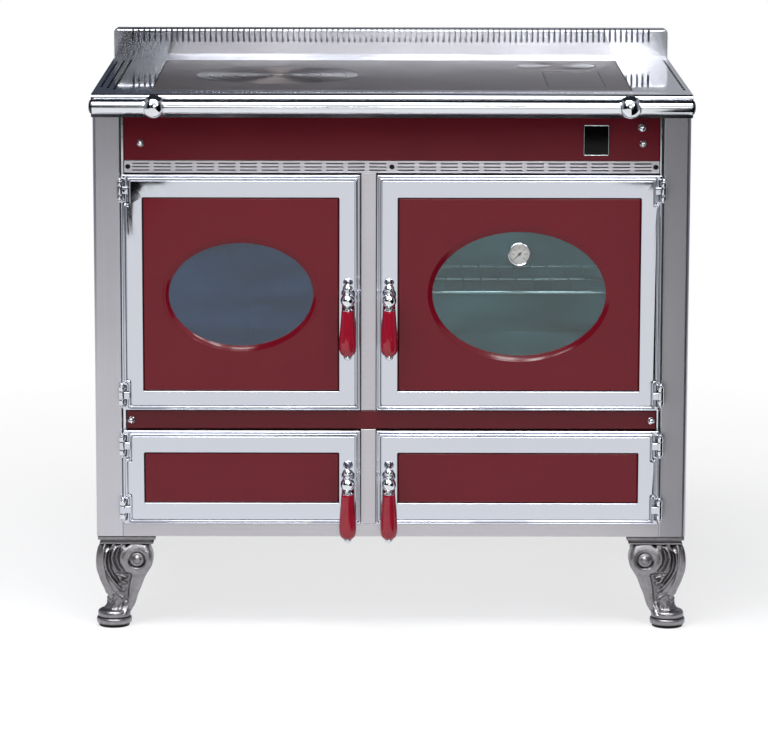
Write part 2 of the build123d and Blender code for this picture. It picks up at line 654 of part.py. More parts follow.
def rail_brackets():
    """Two balls on short necks, bored for the rail."""
    bored_ball = Rot(0, 90, 0) * (Sphere(RAIL_BALL_RADIUS) - Cylinder(RAIL_RADIUS, 2 * RAIL_BALL_RADIUS))
    brackets = []
    for side in (-1, 1):
        x = side * (HALF_WIDTH - RAIL_BALL_INSET)
        neck = rod_y(x, RAIL_Z, RAIL_NECK_RADIUS, (-RAIL_OFFSET + RAIL_RADIUS + SHEET, -RAIL_SEAT_GAP))
        brackets.append(Pos(x, -RAIL_OFFSET, RAIL_Z) * bored_ball + neck)
    return group(brackets)


# ---------------------------------------------------------------- doors
@dataclass
class Door:
    """One door: its limits on the front, its hinge side and its latch height."""

    name: str
    x: tuple
    z: tuple
    side: int
    borders: tuple
    handle_drop: float
    window: tuple = ()
    bead: tuple = ()
    window_lift: float = 0.0

    @property
    def panel_x(self):
        return grown(self.x, -DOOR_BORDER_SIDE)

    @property
    def panel_z(self):
        return (self.z[0] + self.borders[0], self.z[1] - self.borders[1])

    @property
    def mouth_x(self):
        return grown(self.panel_x, -MOUTH_INSET) if self.window else grown(self.x, -COMPARTMENT_INSET)

    @property
    def mouth_z(self):
        if self.window:
            return grown(self.panel_z, -MOUTH_INSET)
        return (FLOOR_TOP, self.z[1] - COMPARTMENT_HEADROOM)

    @property
    def hinge(self):
        return (self.side * HINGE_X, HINGE_Y)

    @property
    def hinge_heights(self):
        inset = HINGE_INSET_UPPER if self.window else HINGE_INSET_LOWER
        return (self.z[0] + inset, self.z[1] - inset)

    @property
    def latch(self):
        edge = self.x[1] if self.side < 0 else self.x[0]
        return (edge + self.side * HANDLE_INSET, middle(self.z) - self.handle_drop)

    @property
    def eye(self):
        return (middle(self.panel_x), middle(self.panel_z) + self.window_lift)


def knuckle_spans(height):
    """The Z limits of the three knuckles of the hinge centred at a height."""
    low = height - KNUCKLE_STACK / 2
    spans = []
    for length in KNUCKLE_LENGTHS:
        spans.append((low, low + length))
        low += length
    return spans


def door_frame(door):
    """The cast frame: a low rim, a bevel up to the flat, the window and the hinge knuckles."""
    rim = slab(rectangle(door.x, door.z, RIM_CORNER), RIM_FACE, BODY_FRONT)
    slope = degrees(atan2(RIM_BEVEL, RIM_STEP))
    foot = rectangle(grown(door.x, -RIM_WIDTH), grown(door.z, -RIM_WIDTH))
    flat = extrude(facing_front(RIM_FACE) * foot, amount=RIM_STEP, taper=slope)
    frame = rim + flat
    through = (DOOR_FACE - PAST, BODY_FRONT + PAST)
    frame -= box(grown(door.panel_x, PANEL_GAP), through, grown(door.panel_z, PANEL_GAP))
    x, y = door.hinge
    for height in door.hinge_heights:
        lower, own, upper = knuckle_spans(height)
        relief = (lower[0] - FINIAL_LENGTH - KNUCKLE_GAP, upper[1] + FINIAL_LENGTH + KNUCKLE_GAP)
        frame -= rod_z(x, y, KNUCKLE_RADIUS + KNUCKLE_RELIEF, relief)
        span = grown(own, -KNUCKLE_GAP)
        lug = sorted((x, x - door.side * (KNUCKLE_RADIUS + RIM_WIDTH)))
        frame += rod_z(x, y, KNUCKLE_RADIUS, span) + box(lug, (y, y + KNUCKLE_RADIUS), span)
        frame -= rod_z(x, y, HINGE_PIN_RADIUS + PIN_RUNNING, grown(relief, PAST))
    return frame - rod_y(*door.latch, SPINDLE_RADIUS + SPINDLE_RUNNING, through)


def ellipse_at(door, radii, by=0.0):
    """An ellipse round the door's window centre, grown by a margin."""
    return Pos(*door.eye) * Ellipse(radii[0] + by, radii[1] + by)


def door_panel(door):
    """The red enamelled panel, folded back at its edges; the upper ones have a beaded window."""
    walls = (PANEL_FACE, BODY_FRONT)
    panel = box(door.panel_x, walls, door.panel_z)
    hollow = (PANEL_FACE + PANEL_THICKNESS, BODY_FRONT + PAST)
    panel -= box(grown(door.panel_x, -PANEL_THICKNESS), hollow, grown(door.panel_z, -PANEL_THICKNESS))
    if not door.window:
        flange = slab(rectangle(grown(door.panel_x, LOWER_FLANGE), grown(door.panel_z, LOWER_FLANGE)),
                      BODY_FRONT, BODY_FRONT + SHEET)
        inner = box(grown(door.panel_x, -PANEL_THICKNESS), grown((BODY_FRONT, BODY_FRONT + SHEET), PAST),
                    grown(door.panel_z, -PANEL_THICKNESS))
        return panel + (flange - inner)
    foot = facing_front(PANEL_FACE) * ellipse_at(door, door.bead)
    crest = facing_front(PANEL_FACE - BEAD_HEIGHT) * ellipse_at(door, door.bead, -BEAD_SLOPE)
    panel += loft([foot, crest])
    return panel - slab(ellipse_at(door, door.window), PANEL_FACE - BEAD_HEIGHT - PAST, GLASS_FRONT + PAST)


def door_glass(door):
    """The ceramic glass behind the panel."""
    glass = slab(ellipse_at(door, door.window, GLASS_LAP), GLASS_FRONT, GLASS_BACK)
    if door.name != "oven":
        return glass
    x, z = dial_centre(door)
    return glass - rod_y(x, z, DIAL_STEM_HOLE, (GLASS_FRONT - PAST, GLASS_BACK + PAST))


def door_liner(door):
    """The steel back of the door, with four clips that hold the glass by its rim."""
    outer = rectangle(grown(door.panel_x, LINER_LAP), grown(door.panel_z, LINER_LAP))
    opening = Pos(*door.eye) * Rectangle(2 * door.window[0], 2 * door.window[1])
    liner = slab(outer - opening, BODY_FRONT, LINER_BACK)
    along, across = GLASS_CLIP
    for side in (-1, 1):
        beside = Pos(side * (door.window[0] + across / 2), 0) * Rectangle(across, along)
        above = Pos(0, side * (door.window[1] + across / 2)) * Rectangle(along, across)
        liner += slab(Pos(*door.eye) * (beside + above), GLASS_BACK, BODY_FRONT)
    return liner


def door_seal(door):
    """The rope seal that closes on the rim of the mouth."""
    x, z = grown(door.mouth_x, SEAL_INSET), grown(door.mouth_z, SEAL_INSET)
    outer = rectangle(grown(x, SEAL_WIDTH), grown(z, SEAL_WIDTH), 2 * SEAL_WIDTH)
    return slab(outer - rectangle(x, z, SEAL_WIDTH), LINER_BACK, SEAL_BACK)


# ---------------------------------------------------------------- hinges
def hinge_bracket(door, height):
    """The fixed half of a hinge: two knuckles on a web that stands on the column."""
    x, y = door.hinge
    web_x = sorted((x + door.side * KNUCKLE_RADIUS, x + door.side * (KNUCKLE_RADIUS - BRACKET_THICKNESS)))
    lower, own, upper = knuckle_spans(height)
    bracket = box(web_x, (y + KNUCKLE_RADIUS + BRACKET_WEB_GAP, BODY_FRONT), (lower[0], upper[1]))
    for span in (lower, upper):
        bracket += rod_z(x, y, KNUCKLE_RADIUS, span) + box(web_x, (y, BODY_FRONT), span)
        bracket -= rod_z(x, y, HINGE_PIN_RADIUS, grown(span, PAST))
    return bracket


def hinge_pin(door, height):
    """The pin through a hinge, with a finial at each end."""
    x, y = door.hinge
    lower, own, upper = knuckle_spans(height)
    foot, head = lower[0], upper[1]
    pin = rod_z(x, y, HINGE_PIN_RADIUS, (foot, head))
    return pin + rod_z(x, y, FINIAL_RADIUS, (foot - FINIAL_LENGTH, foot)) + rod_z(
        x, y, FINIAL_RADIUS, (head, head + FINIAL_LENGTH))


# ---------------------------------------------------------------- handles
def handle_spindle(door):
    """The bright parts of a handle: spindle, ball, cap, ferrule, end button and latch finger."""
    x, z = door.latch
    rosette_back = DOOR_FACE - ROSETTE_GAP
    spindle = rod_y(x, z, SPINDLE_RADIUS, (HANDLE_Y, FINGER_Y[1]))
    spindle += rod_y(x, z, ROSETTE[0], (rosette_back - ROSETTE[1], rosette_back))
    edge = MULLION_X[0] - FINGER_GAP if door.side < 0 else MULLION_X[1] + FINGER_GAP
    spindle += box(sorted((x + door.side * SPINDLE_RADIUS, edge)), FINGER_Y, grown((z, z), FINGER_HEIGHT / 2))
    ferrule_top, grip_top = -FERRULE_SPAN[0], -FERRULE_SPAN[1]
    grip_end = grip_top - GRIP_LENGTH
    cap = [CAP_TOP - drop for drop in CAP_DROPS]
    stem = turned([(0, CAP_TOP), (CAP_RADIUS, cap[0]), (CAP_RADIUS, cap[1]), (CAP_NECK_RADIUS, cap[2]),
                   (CAP_NECK_RADIUS, ferrule_top), (FERRULE_RADIUS, grip_top + FERRULE_LIP),
                   (FERRULE_RADIUS, grip_top),
                   (SPINDLE_RADIUS, grip_top), (SPINDLE_RADIUS, grip_end),
                   (END_BUTTON_RADIUS, grip_end), (0, grip_end - END_BUTTON_LENGTH)])
    return spindle + Pos(x, HANDLE_Y, z) * (stem + Sphere(BALL_RADIUS))


def handle_grip(door):
    """The red grip: a turned handle that swells to two thirds of its length, on the stem."""
    x, z = door.latch
    top = -FERRULE_SPAN[1]
    swell_at, swell_radius = GRIP_SWELL
    shoulder_at, shoulder_radius = GRIP_SHOULDER
    end = top - GRIP_LENGTH
    grip = turned([(SPINDLE_RADIUS, top), (GRIP_TOP_RADIUS, top), (swell_radius, top - swell_at),
                   (GRIP_MAX_RADIUS, top - GRIP_MAX_AT), (shoulder_radius, top - shoulder_at),
                   (GRIP_END_RADIUS, end), (SPINDLE_RADIUS, end)])
    return Pos(x, HANDLE_Y, z) * grip


# ---------------------------------------------------------------- oven thermometer
def dial_centre(door):
    """The thermometer's place near the top of the oven window."""
    return (door.eye[0], door.eye[1] + door.window[1] - DIAL_DROP)


def oven_thermometer(door):
    """The dial case with its bezel, the stem through the glass, and the nut behind."""
    x, z = dial_centre(door)
    front = GLASS_FRONT - DIAL_DEPTH
    case = rod_y(x, z, DIAL_RADIUS, (front, GLASS_FRONT))
    case -= rod_y(x, z, DIAL_RADIUS - DIAL_BEZEL, (front - PAST, GLASS_FRONT - DIAL_FACE_UP))
    case += rod_y(x, z, NEEDLE_PIN_RADIUS, (front + NEEDLE_PIN_SETBACK, GLASS_FRONT))
    case += rod_y(x, z, DIAL_STEM_RADIUS, (GLASS_FRONT - PAST, GLASS_BACK + 2 * DIAL_NUT[1]))
    nut = Pos(x, z) * RegularPolygon(DIAL_NUT[0], 6)
    return case + slab(nut, GLASS_BACK, GLASS_BACK + DIAL_NUT[1])


def thermometer_needle(door):
    """The pointer, on a hub that turns on the dial's pin."""
    x, z = dial_centre(door)
    back = GLASS_FRONT - DIAL_FACE_UP - NEEDLE_GAP
    tail, tip = NEEDLE_HALF_WIDTHS
    blade = Polyline((-NEEDLE_TAIL, -tail), (-NEEDLE_TAIL, tail), (NEEDLE_LENGTH, tip), (NEEDLE_LENGTH, -tip),
                     close=True)
    outline = make_face(blade) + Circle(NEEDLE_HUB_RADIUS)
    outline -= Circle(NEEDLE_PIN_RADIUS + NEEDLE_RUNNING)
    return slab(Pos(x, z) * Rot(0, 0, NEEDLE_ANGLE) * outline, back - NEEDLE_THICKNESS, back)


# ---------------------------------------------------------------- firebox
def firebox_limits(door):
    """The firebox shell's outer limits behind its doors."""
    x = (-COLUMN_INNER + FIREBOX_SIDE_GAP, MULLION_X[0] - DOOR_MULLION_GAP - FIREBOX_SIDE_GAP)
    z = (FLOOR_TOP, WORKTOP_HEIGHT - FIREBOX_TOP_GAP)
    return x, (FRONT_PLATE_BACK, BODY_BACK - FIREBOX_REAR_GAP), z


def firebox_floor(door):
    """The Z limits of the floor between the fire and the ash drawer."""
    top = door.mouth_z[0] - FIREBOX_FLOOR_DROP
    return (top - 2 * FIREBOX_WALL, top)


def grate_centre(door):
    """The middle of the grate on the firebox floor."""
    x, y, z = firebox_limits(door)
    return (middle(x), middle(y))


def firebox_shell(door):
    """The welded fire chamber over the ash chamber, open in front and to the top plate."""
    x, y, z = firebox_limits(door)
    floor = firebox_floor(door)
    shell = box(x, y, z)
    inner_x = grown(x, -FIREBOX_WALL)
    inner_y = (y[0] - PAST, y[1] - FIREBOX_WALL)
    shell -= box(inner_x, inner_y, (floor[1], z[1] + PAST))
    shell -= box(inner_x, inner_y, (z[0] - PAST, floor[0]))
    gx, gy = grate_centre(door)
    half_x, half_y = GRATE_SIZE[0] / 2, GRATE_SIZE[1] / 2
    shell -= box((gx - half_x, gx + half_x), (gy - half_y, gy + half_y), grown(floor, PAST))
    pass_y = (y[0] + BRICK_THICKNESS, y[1] - BRICK_THICKNESS)
    return shell - box((x[1] - 2 * FIREBOX_WALL, x[1] + PAST), pass_y, (door.z[1], z[1] + PAST))


def firebrick_lining(door):
    """Fire bricks: two courses along each side and across the back."""
    x, y, z = firebox_limits(door)
    inner_x = grown(x, -FIREBOX_WALL - BRICK_GAP)
    inner_y = (y[0], y[1] - FIREBOX_WALL - BRICK_GAP)
    low, high = firebox_floor(door)[1] + BRICK_GAP, door.z[1] - FIREBOX_TOP_GAP
    side_y = (inner_y[0] + BRICK_JOINT, inner_y[1] - BRICK_THICKNESS - BRICK_JOINT)
    bricks = []
    for course in range(2):
        z_span = halves((low, high), BRICK_JOINT)[course]
        for part in range(2):
            y_span = halves(side_y, BRICK_JOINT)[part]
            bricks.append(box((inner_x[0], inner_x[0] + BRICK_THICKNESS), y_span, z_span))
            bricks.append(box((inner_x[1] - BRICK_THICKNESS, inner_x[1]), y_span, z_span))
            x_span = halves(inner_x, BRICK_JOINT)[part]
            bricks.append(box(x_span, (inner_y[1] - BRICK_THICKNESS, inner_y[1]), z_span))
    return group(bricks)


def halves(span, joint):
    """A pair of limits split in two with a joint between."""
    centre = middle(span)
    return ((span[0], centre - joint / 2), (centre + joint / 2, span[1]))


def fire_grate(door):
    """The cast grate let into the firebox floor: a lip round long bars."""
    gx, gy = grate_centre(door)
    low, high = firebox_floor(door)
    body_x = grown((gx, gx), GRATE_SIZE[0] / 2 - GRATE_GAP)
    body_y = grown((gy, gy), GRATE_SIZE[1] / 2 - GRATE_GAP)
    lip_z = (high, high + GRATE_LIP)
    grate = box(body_x, body_y, (low, high)) + box(grown(body_x, GRATE_LIP), grown(body_y, GRATE_LIP), lip_z)
    pitch = (GRATE_SIZE[0] - GRATE_LIP) / GRATE_SLOTS
    slot_z = grown((low, lip_z[1]), PAST)
    for i in range(GRATE_SLOTS):
        x = gx + pitch * (i - (GRATE_SLOTS - 1) / 2)
        grate -= box(grown((x, x), GRATE_SLOT / 2), grown(body_y, -GRATE_BORDER), slot_z)
    return grate


def ash_pan(door):
    """The open ash pan of five welded sheets, standing on the floor of the stove."""
    x, y, z = firebox_limits(door)
    pan_x = grown(x, -ASH_PAN_SIDE_GAP)
    pan_y = (y[0] + ASH_PAN_FRONT_GAP, y[1] - ASH_PAN_REAR_GAP)
    wall_z = (z[0] + PAN_WALL, z[0] + ASH_PAN_HEIGHT)
    floor = box(pan_x, pan_y, (z[0], wall_z[0]))
    sides = [box(span, pan_y, wall_z) for span in edge_spans(pan_x, PAN_WALL)]
    ends = [box(grown(pan_x, -PAN_WALL), span, wall_z) for span in edge_spans(pan_y, PAN_WALL)]
    return group([floor] + sides + ends)


# ---------------------------------------------------------------- oven
def oven_limits(door):
    """The oven cavity's limits: its mouth, run back into the stove."""
    return door.mouth_x, (FRONT_PLATE_BACK, BODY_BACK - OVEN_REAR_GAP), door.mouth_z


def oven_box(door):
    """The oven of five welded sheets, its rack runners, and the smoke baffle on top."""
    x, y, z = oven_limits(door)
    deep = (y[0], y[1] + SHEET)
    pieces = [box(grown(x, SHEET), deep, span) for span in edge_spans(grown(z, SHEET), SHEET)]
    pieces += [box(span, deep, z) for span in edge_spans(grown(x, SHEET), SHEET)]
    pieces.append(box(x, (y[1], deep[1]), z))
    runner_y = (y[0] + RACK_FRONT_GAP, y[1] - RACK_FRONT_GAP)
    for level in OVEN_RUNNER_LEVELS:
        runner_z = (z[0] + level - OVEN_RUNNER[1], z[0] + level)
        pieces += [box(span, runner_y, runner_z) for span in edge_spans(x, OVEN_RUNNER[0])]
    baffle = box((x[0], BODY_HALF - 2 * COLUMN_RETURN), (BAFFLE_FRONT, BAFFLE_FRONT + SHEET),
                 (z[1] + SHEET, WORKTOP_HEIGHT - FIREBOX_TOP_GAP))
    hole_x = grown((DAMPER_X, DAMPER_X), BAFFLE_HOLE[0] / 2)
    hole_z = grown((DAMPER_Z, DAMPER_Z), BAFFLE_HOLE[1] / 2)
    baffle -= box(hole_x, grown((BAFFLE_FRONT, BAFFLE_FRONT + SHEET), PAST), hole_z)
    return group(pieces + [baffle])


def oven_rack(door):
    """The wire rack: front, middle and back bars, with wires let into them that run back."""
    x, y, z = oven_limits(door)
    bar_x = grown(x, -RACK_SIDE_GAP)
    seat = z[0] + OVEN_RUNNER_LEVELS[RACK_LEVEL]
    bar_z = (seat, seat + RACK_BAR)
    front = y[0] + RACK_FRONT_GAP
    count = int((bar_x[1] - bar_x[0] - RACK_BAR) // RACK_WIRE_PITCH) + 1
    start = middle(bar_x) - RACK_WIRE_PITCH * (count - 1) / 2
    wires = [Pos(start + RACK_WIRE_PITCH * i, bar_z[1]) * RegularPolygon(RACK_WIRE_RADIUS, 6)
             for i in range(count)]
    rack = slab(Sketch() + wires, front, front + RACK_DEPTH)
    for share in (0.0, 0.5, 1.0):
        bar_front = front + share * (RACK_DEPTH - RACK_BAR)
        rack += box(bar_x, (bar_front, bar_front + RACK_BAR), bar_z)
    return rack


# ---------------------------------------------------------------- smoke way
def flue_collar():
    """The round spigot at the back, on a flange."""
    x = FLUE_COVER_CENTRE[0]
    lap, thickness = FLUE_FLANGE
    length = (BODY_BACK, BODY_BACK + FLUE_COLLAR_LENGTH)
    collar = rod_y(x, FLUE_COLLAR_Z, FLUE_COLLAR_RADIUS, length)
    collar += rod_y(x, FLUE_COLLAR_Z, FLUE_COLLAR_RADIUS + lap, (BODY_BACK, BODY_BACK + thickness))
    return collar - rod_y(x, FLUE_COLLAR_Z, FLUE_COLLAR_RADIUS - FLUE_COLLAR_WALL, grown(length, PAST))


def flue_damper():
    """The start-up damper: knob, rod and the plate that covers the hole in the baffle."""
    collar_front = BODY_FRONT - ROSETTE_GAP - DAMPER_COLLAR[1]
    back = BAFFLE_FRONT - DAMPER_GAP
    rod = rod_y(DAMPER_X, DAMPER_Z, DAMPER_ROD_RADIUS, (collar_front, back))
    rod += rod_y(DAMPER_X, DAMPER_Z, DAMPER_COLLAR[0], (collar_front, collar_front + DAMPER_COLLAR[1]))
    rod += Pos(DAMPER_X, collar_front, DAMPER_Z) * Rot(90, 0, 0) * dome(*DAMPER_KNOB)
    plate_x = grown((DAMPER_X, DAMPER_X), DAMPER_PLATE[0] / 2)
    plate_z = grown((DAMPER_Z, DAMPER_Z), DAMPER_PLATE[1] / 2)
    return rod + box(plate_x, (back - DAMPER_PLATE[2], back), plate_z)


# ---------------------------------------------------------------- legs
def leg_outline(top, bottom):
    """The leg seen from the front, measured inwards from its outer corner."""
    shoulder = (LEG_NECK[0], top)
    ankle_out = (ANKLE_IN[0], ANKLE_HEIGHT)
    toe = (FOOT_CENTRE - FOOT_RADII[1] + INSTEP_INSET, bottom)
    outer = ThreePointArc(shoulder, KNEE, THIGH)
    shin = TangentArc(THIGH, ankle_out, tangent=outer % 1)
    instep = TangentArc(ankle_out, toe, tangent=shin % 1)
    volute_z = LEG_HEIGHT - VOLUTE_DROP
    brow = (VOLUTE_IN + VOLUTE_BROW * VOLUTE_RADIUS, top)
    cheek = (VOLUTE_IN + VOLUTE_RADIUS, volute_z)
    chin = (VOLUTE_IN + VOLUTE_CHIN[0] * VOLUTE_RADIUS, volute_z - VOLUTE_CHIN[1] * VOLUTE_RADIUS)
    heel = (FOOT_CENTRE + FOOT_RADII[1] - INSTEP_INSET, bottom)
    curl = ThreePointArc(brow, cheek, chin)
    calf = ThreePointArc(chin, (ANKLE_IN[1], ANKLE_HEIGHT), heel)
    return make_face(Wire([outer, shin, instep, Line(toe, heel), calf, curl, Line(brow, shoulder)]))


def volute():
    """The curled scroll's boss, a disc with a button on its face."""
    centre_z = LEG_HEIGHT - VOLUTE_DROP
    radius, length = VOLUTE_BUTTON
    button = rod_y(VOLUTE_IN, centre_z, radius, (VOLUTE_SETBACK - length, VOLUTE_SETBACK))
    return button + rod_y(VOLUTE_IN, centre_z, VOLUTE_RADIUS, (VOLUTE_SETBACK, LEG_ARM))


def foot():
    """The two rings that the leg ends in."""
    low, seam, high = FOOT_HEIGHTS
    lower = rod_z(FOOT_CENTRE, FOOT_CENTRE, FOOT_RADII[0], (low, seam))
    return lower + rod_z(FOOT_CENTRE, FOOT_CENTRE, FOOT_RADII[1], (seam, high))


def leg():
    """One cast leg at the origin's corner, growing towards +X and +Y, alike on both faces."""
    neck_top = LEG_HEIGHT - LEG_PLATE[2]
    top = neck_top - LEG_NECK[2]
    reach = LEG_PLATE[1]
    diagonal = Plane(origin=(0, 0, 0), x_dir=(0, 0, 1), z_dir=(1, -1, 0))
    front = slab(leg_outline(top, FOOT_HEIGHTS[2]), 0, reach)
    body = front & mirror(front, about=diagonal)
    inside = (LEG_ARM, reach + PAST)
    body -= box(inside, inside, (ANKLE_HEIGHT, top + PAST))
    boss = volute()
    body += boss
    body += mirror(boss, about=diagonal)
    body += box(LEG_NECK[:2], LEG_NECK[:2], (top, neck_top))
    body += box(LEG_PLATE[:2], LEG_PLATE[:2], (neck_top, LEG_HEIGHT))
    return body + foot()


def leg_with_pad():
    """A leg and the dark pad under its foot."""
    pad = rod_z(FOOT_CENTRE, FOOT_CENTRE, PAD_RADIUS, (0, FOOT_HEIGHTS[0]))
    return group([leg(), pad])


def placed_legs(rear):
    """The left and right legs of the front or of the back."""
    left = leg_with_pad()
    if rear:
        left = mirror(left, about=Plane.XZ)
        corner_y = BODY_BACK + LEG_OUT
    else:
        corner_y = BODY_FRONT - LEG_OUT
    left = Pos(-HALF_WIDTH - LEG_OUT, corner_y, 0) * left
    return group([left, mirror(left, about=Plane.YZ)])


# ---------------------------------------------------------------- the stove
DOORS = {
    "firebox": Door("firebox", LEFT_DOOR_X, UPPER_DOOR_Z, -1, UPPER_BORDER, UPPER_HANDLE_DROP,
                    FIREBOX_WINDOW, FIREBOX_BEAD, WINDOW_LIFT[0]),
    "oven": Door("oven", RIGHT_DOOR_X, UPPER_DOOR_Z, 1, UPPER_BORDER, UPPER_HANDLE_DROP,
                 OVEN_WINDOW, OVEN_BEAD, WINDOW_LIFT[1]),
    "ash": Door("ash", LEFT_DOOR_X, LOWER_DOOR_Z, -1, LOWER_BORDER, LOWER_HANDLE_DROP),
    "store": Door("store", RIGHT_DOOR_X, LOWER_DOOR_Z, 1, LOWER_BORDER, LOWER_HANDLE_DROP),
}

os.makedirs("parts", exist_ok=True)

save("side_panel_left", side_panel(-1))
save("side_panel_right", side_panel(1))
save("base_tray", base_tray())
save("back_panel", back_panel())
save("front_plate", front_plate(DOORS.values()))
save("mullion", mullion(sorted({door.latch[1] for door in DOORS.values()})))
save("upper_fascia", upper_fascia())
save("middle_fascia", middle_fascia())
save("vent_grille", vent_grille())
save("tile_frame", tile_frame())
save("tile", tile())

save("worktop", worktop())
save("upstand", upstand())
save("hotplate", hotplate())
for number in range(len(RING_RADII) - 1):
    save(f"ring_{number + 1}", ring(number))
save("ring_lid", round_lid(RING_CENTRE, RING_RADII[-1]))
save("flue_cover", round_lid(FLUE_COVER_CENTRE, FLUE_COVER_RADIUS))
save("soot_lid", soot_lid())

save("rail_tube", rail_tube())
save("rail_end_caps", rail_end_caps())
save("rail_brackets", rail_brackets())

for door in DOORS.values():
    save(f"{door.name}_door_frame", door_frame(door))
    save(f"{door.name}_door_panel", door_panel(door))
    save(f"{door.name}_handle_spindle", handle_spindle(door))
    save(f"{door.name}_handle_grip", handle_grip(door))
    if door.window:
        save(f"{door.name}_door_glass", door_glass(door))
        save(f"{door.name}_door_liner", door_liner(door))
        save(f"{door.name}_door_seal", door_seal(door))
hinges = [(door, height) for door in DOORS.values() for height in door.hinge_heights]
save("hinge_brackets", group([hinge_bracket(door, height) for door, height in hinges]))
save("hinge_pins", group([hinge_pin(door, height) for door, height in hinges]))
save("oven_thermometer", oven_thermometer(DOORS["oven"]))
save("thermometer_needle", thermometer_needle(DOORS["oven"]))

save("firebox_shell", firebox_shell(DOORS["firebox"]))
save("firebrick_lining", firebrick_lining(DOORS["firebox"]))
save("fire_grate", fire_grate(DOORS["firebox"]))
save("ash_pan", ash_pan(DOORS["firebox"]))
save("oven_box", oven_box(DOORS["oven"]))
save("oven_rack", oven_rack(DOORS["oven"]))
save("flue_collar", flue_collar())
save("flue_damper", flue_damper())

save("front_legs", placed_legs(rear=False))
save("rear_legs", placed_legs(rear=True))
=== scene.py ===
"""The looks of the wood cookstove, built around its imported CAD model.

Sizes are in millimetres. They are measured as on the stove's drawing: X from its middle, Y back
from the worktop's front edge and Z up from the floor. A finished mesh is moved to the shared
frame, in metres, when its piece is made.
"""

import logging
import math
from dataclasses import dataclass
from enum import Enum
from typing import Iterable, Sequence

import bmesh
import bpy
from mathutils import Matrix, Vector


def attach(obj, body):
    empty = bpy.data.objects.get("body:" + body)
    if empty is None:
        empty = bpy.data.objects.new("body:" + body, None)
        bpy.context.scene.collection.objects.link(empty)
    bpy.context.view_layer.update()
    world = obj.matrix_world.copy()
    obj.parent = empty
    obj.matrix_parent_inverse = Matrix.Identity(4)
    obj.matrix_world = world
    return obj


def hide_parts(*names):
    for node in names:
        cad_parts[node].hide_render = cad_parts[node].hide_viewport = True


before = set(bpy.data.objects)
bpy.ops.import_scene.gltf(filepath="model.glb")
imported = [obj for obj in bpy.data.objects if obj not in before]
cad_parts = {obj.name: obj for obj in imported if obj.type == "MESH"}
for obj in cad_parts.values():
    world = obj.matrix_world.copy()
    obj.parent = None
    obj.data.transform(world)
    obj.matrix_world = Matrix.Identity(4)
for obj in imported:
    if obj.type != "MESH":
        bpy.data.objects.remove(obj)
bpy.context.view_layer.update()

log = logging.getLogger("cookstove")

Mesh = bmesh.types.BMesh
Tree = bpy.types.NodeTree
Socket = bpy.types.NodeSocket
Point2 = tuple[float, float]
Point3 = tuple[float, float, float]
Span = tuple[float, float]
Colour = tuple[float, float, float, float]

MM = 0.001
FRONT_TO_ORIGIN = 322.5  # from the worktop's front edge back to the shared frame's origin
HANDLE_ROUND = 0.5523  # length of a Bezier handle for a quarter circle of radius 1
BOTH_SIDES = (-1, 1)
RINGS_AT = (-197.7, 317)  # the middle of the nested rings on the top
COVER_AT = (293, 481)  # the middle of the flue cover on the top
WAVES_IN_UNIT = 0.314  # a wave node's scale for one strand in a unit of length


class Body(str, Enum):
    """The CAD bodies that pieces ride on."""

    STOVE = "stove"
    DAMPER = "flue_damper_body"
    FLUE_COVER = "flue_cover_body"
    SOOT_LID = "soot_lid_body"
    RING_LID = "ring_lid_body"
    OVEN_DOOR = "oven_door"
    POINTER = "thermometer_pointer"


class Brush(Enum):
    """The direction in which a sheet was brushed, as the axis along its fine lines."""

    ACROSS = 0
    DEEP = 1
    UPRIGHT = 2


# ---------------------------------------------------------------- small helpers
def linear(hex_colour: str) -> Colour:
    """Turns an sRGB hex colour to linear.

    Args:
        hex_colour: six hex digits.

    Returns:
        Linear red, green, blue and an alpha of one.
    """
    parts = [int(hex_colour[i:i + 2], 16) / 255 for i in (0, 2, 4)]
    red, green, blue = [c / 12.92 if c <= 0.04045 else ((c + 0.055) / 1.055) ** 2.4 for c in parts]
    return (red, green, blue, 1)


def middle(span: Span) -> float:
    """Gives the middle of a pair of limits."""
    return (span[0] + span[1]) / 2


def grown(span: Span, by: float) -> Span:
    """Gives a pair of limits moved apart by an amount at both ends."""
    return (span[0] - by, span[1] + by)


def between(a: float, b: float) -> Span:
    """Gives the limits between two places, the lower one first."""
    return (min(a, b), max(a, b))


def mix(a: float, b: float, share: float) -> float:
    """Gives the value a share of the way from a to b."""
    return a + (b - a) * share


def smooth_step(low: float, high: float, value: float) -> float:
    """Gives 0 below low, 1 above high, and a smooth rise between them."""
    share = min(1, max(0, (value - low) / (high - low)))
    return share * share * (3 - 2 * share)


def from_table(table: Sequence[Point2], at: float) -> float:
    """Reads a value between the rows of a table by a smooth curve through them.

    Args:
        table: rows of (place, value) with rising places.
        at: the place to read.

    Returns:
        The value there, held at the ends.
    """
    if at <= table[0][0]:
        return table[0][1]
    if at >= table[-1][0]:
        return table[-1][1]
    last = len(table) - 1
    i = max(k for k in range(last) if table[k][0] <= at)
    (x1, y1), (x2, y2) = table[i], table[i + 1]
    x0, y0 = table[max(i - 1, 0)]
    x3, y3 = table[min(i + 2, last)]
    slope1 = (y2 - y0) / (x2 - x0)
    slope2 = (y3 - y1) / (x3 - x1)
    t, width = (at - x1) / (x2 - x1), x2 - x1
    return ((2 * t ** 3 - 3 * t * t + 1) * y1 + (t ** 3 - 2 * t * t + t) * width * slope1
            + (3 * t * t - 2 * t ** 3) * y2 + (t ** 3 - t * t) * width * slope2)


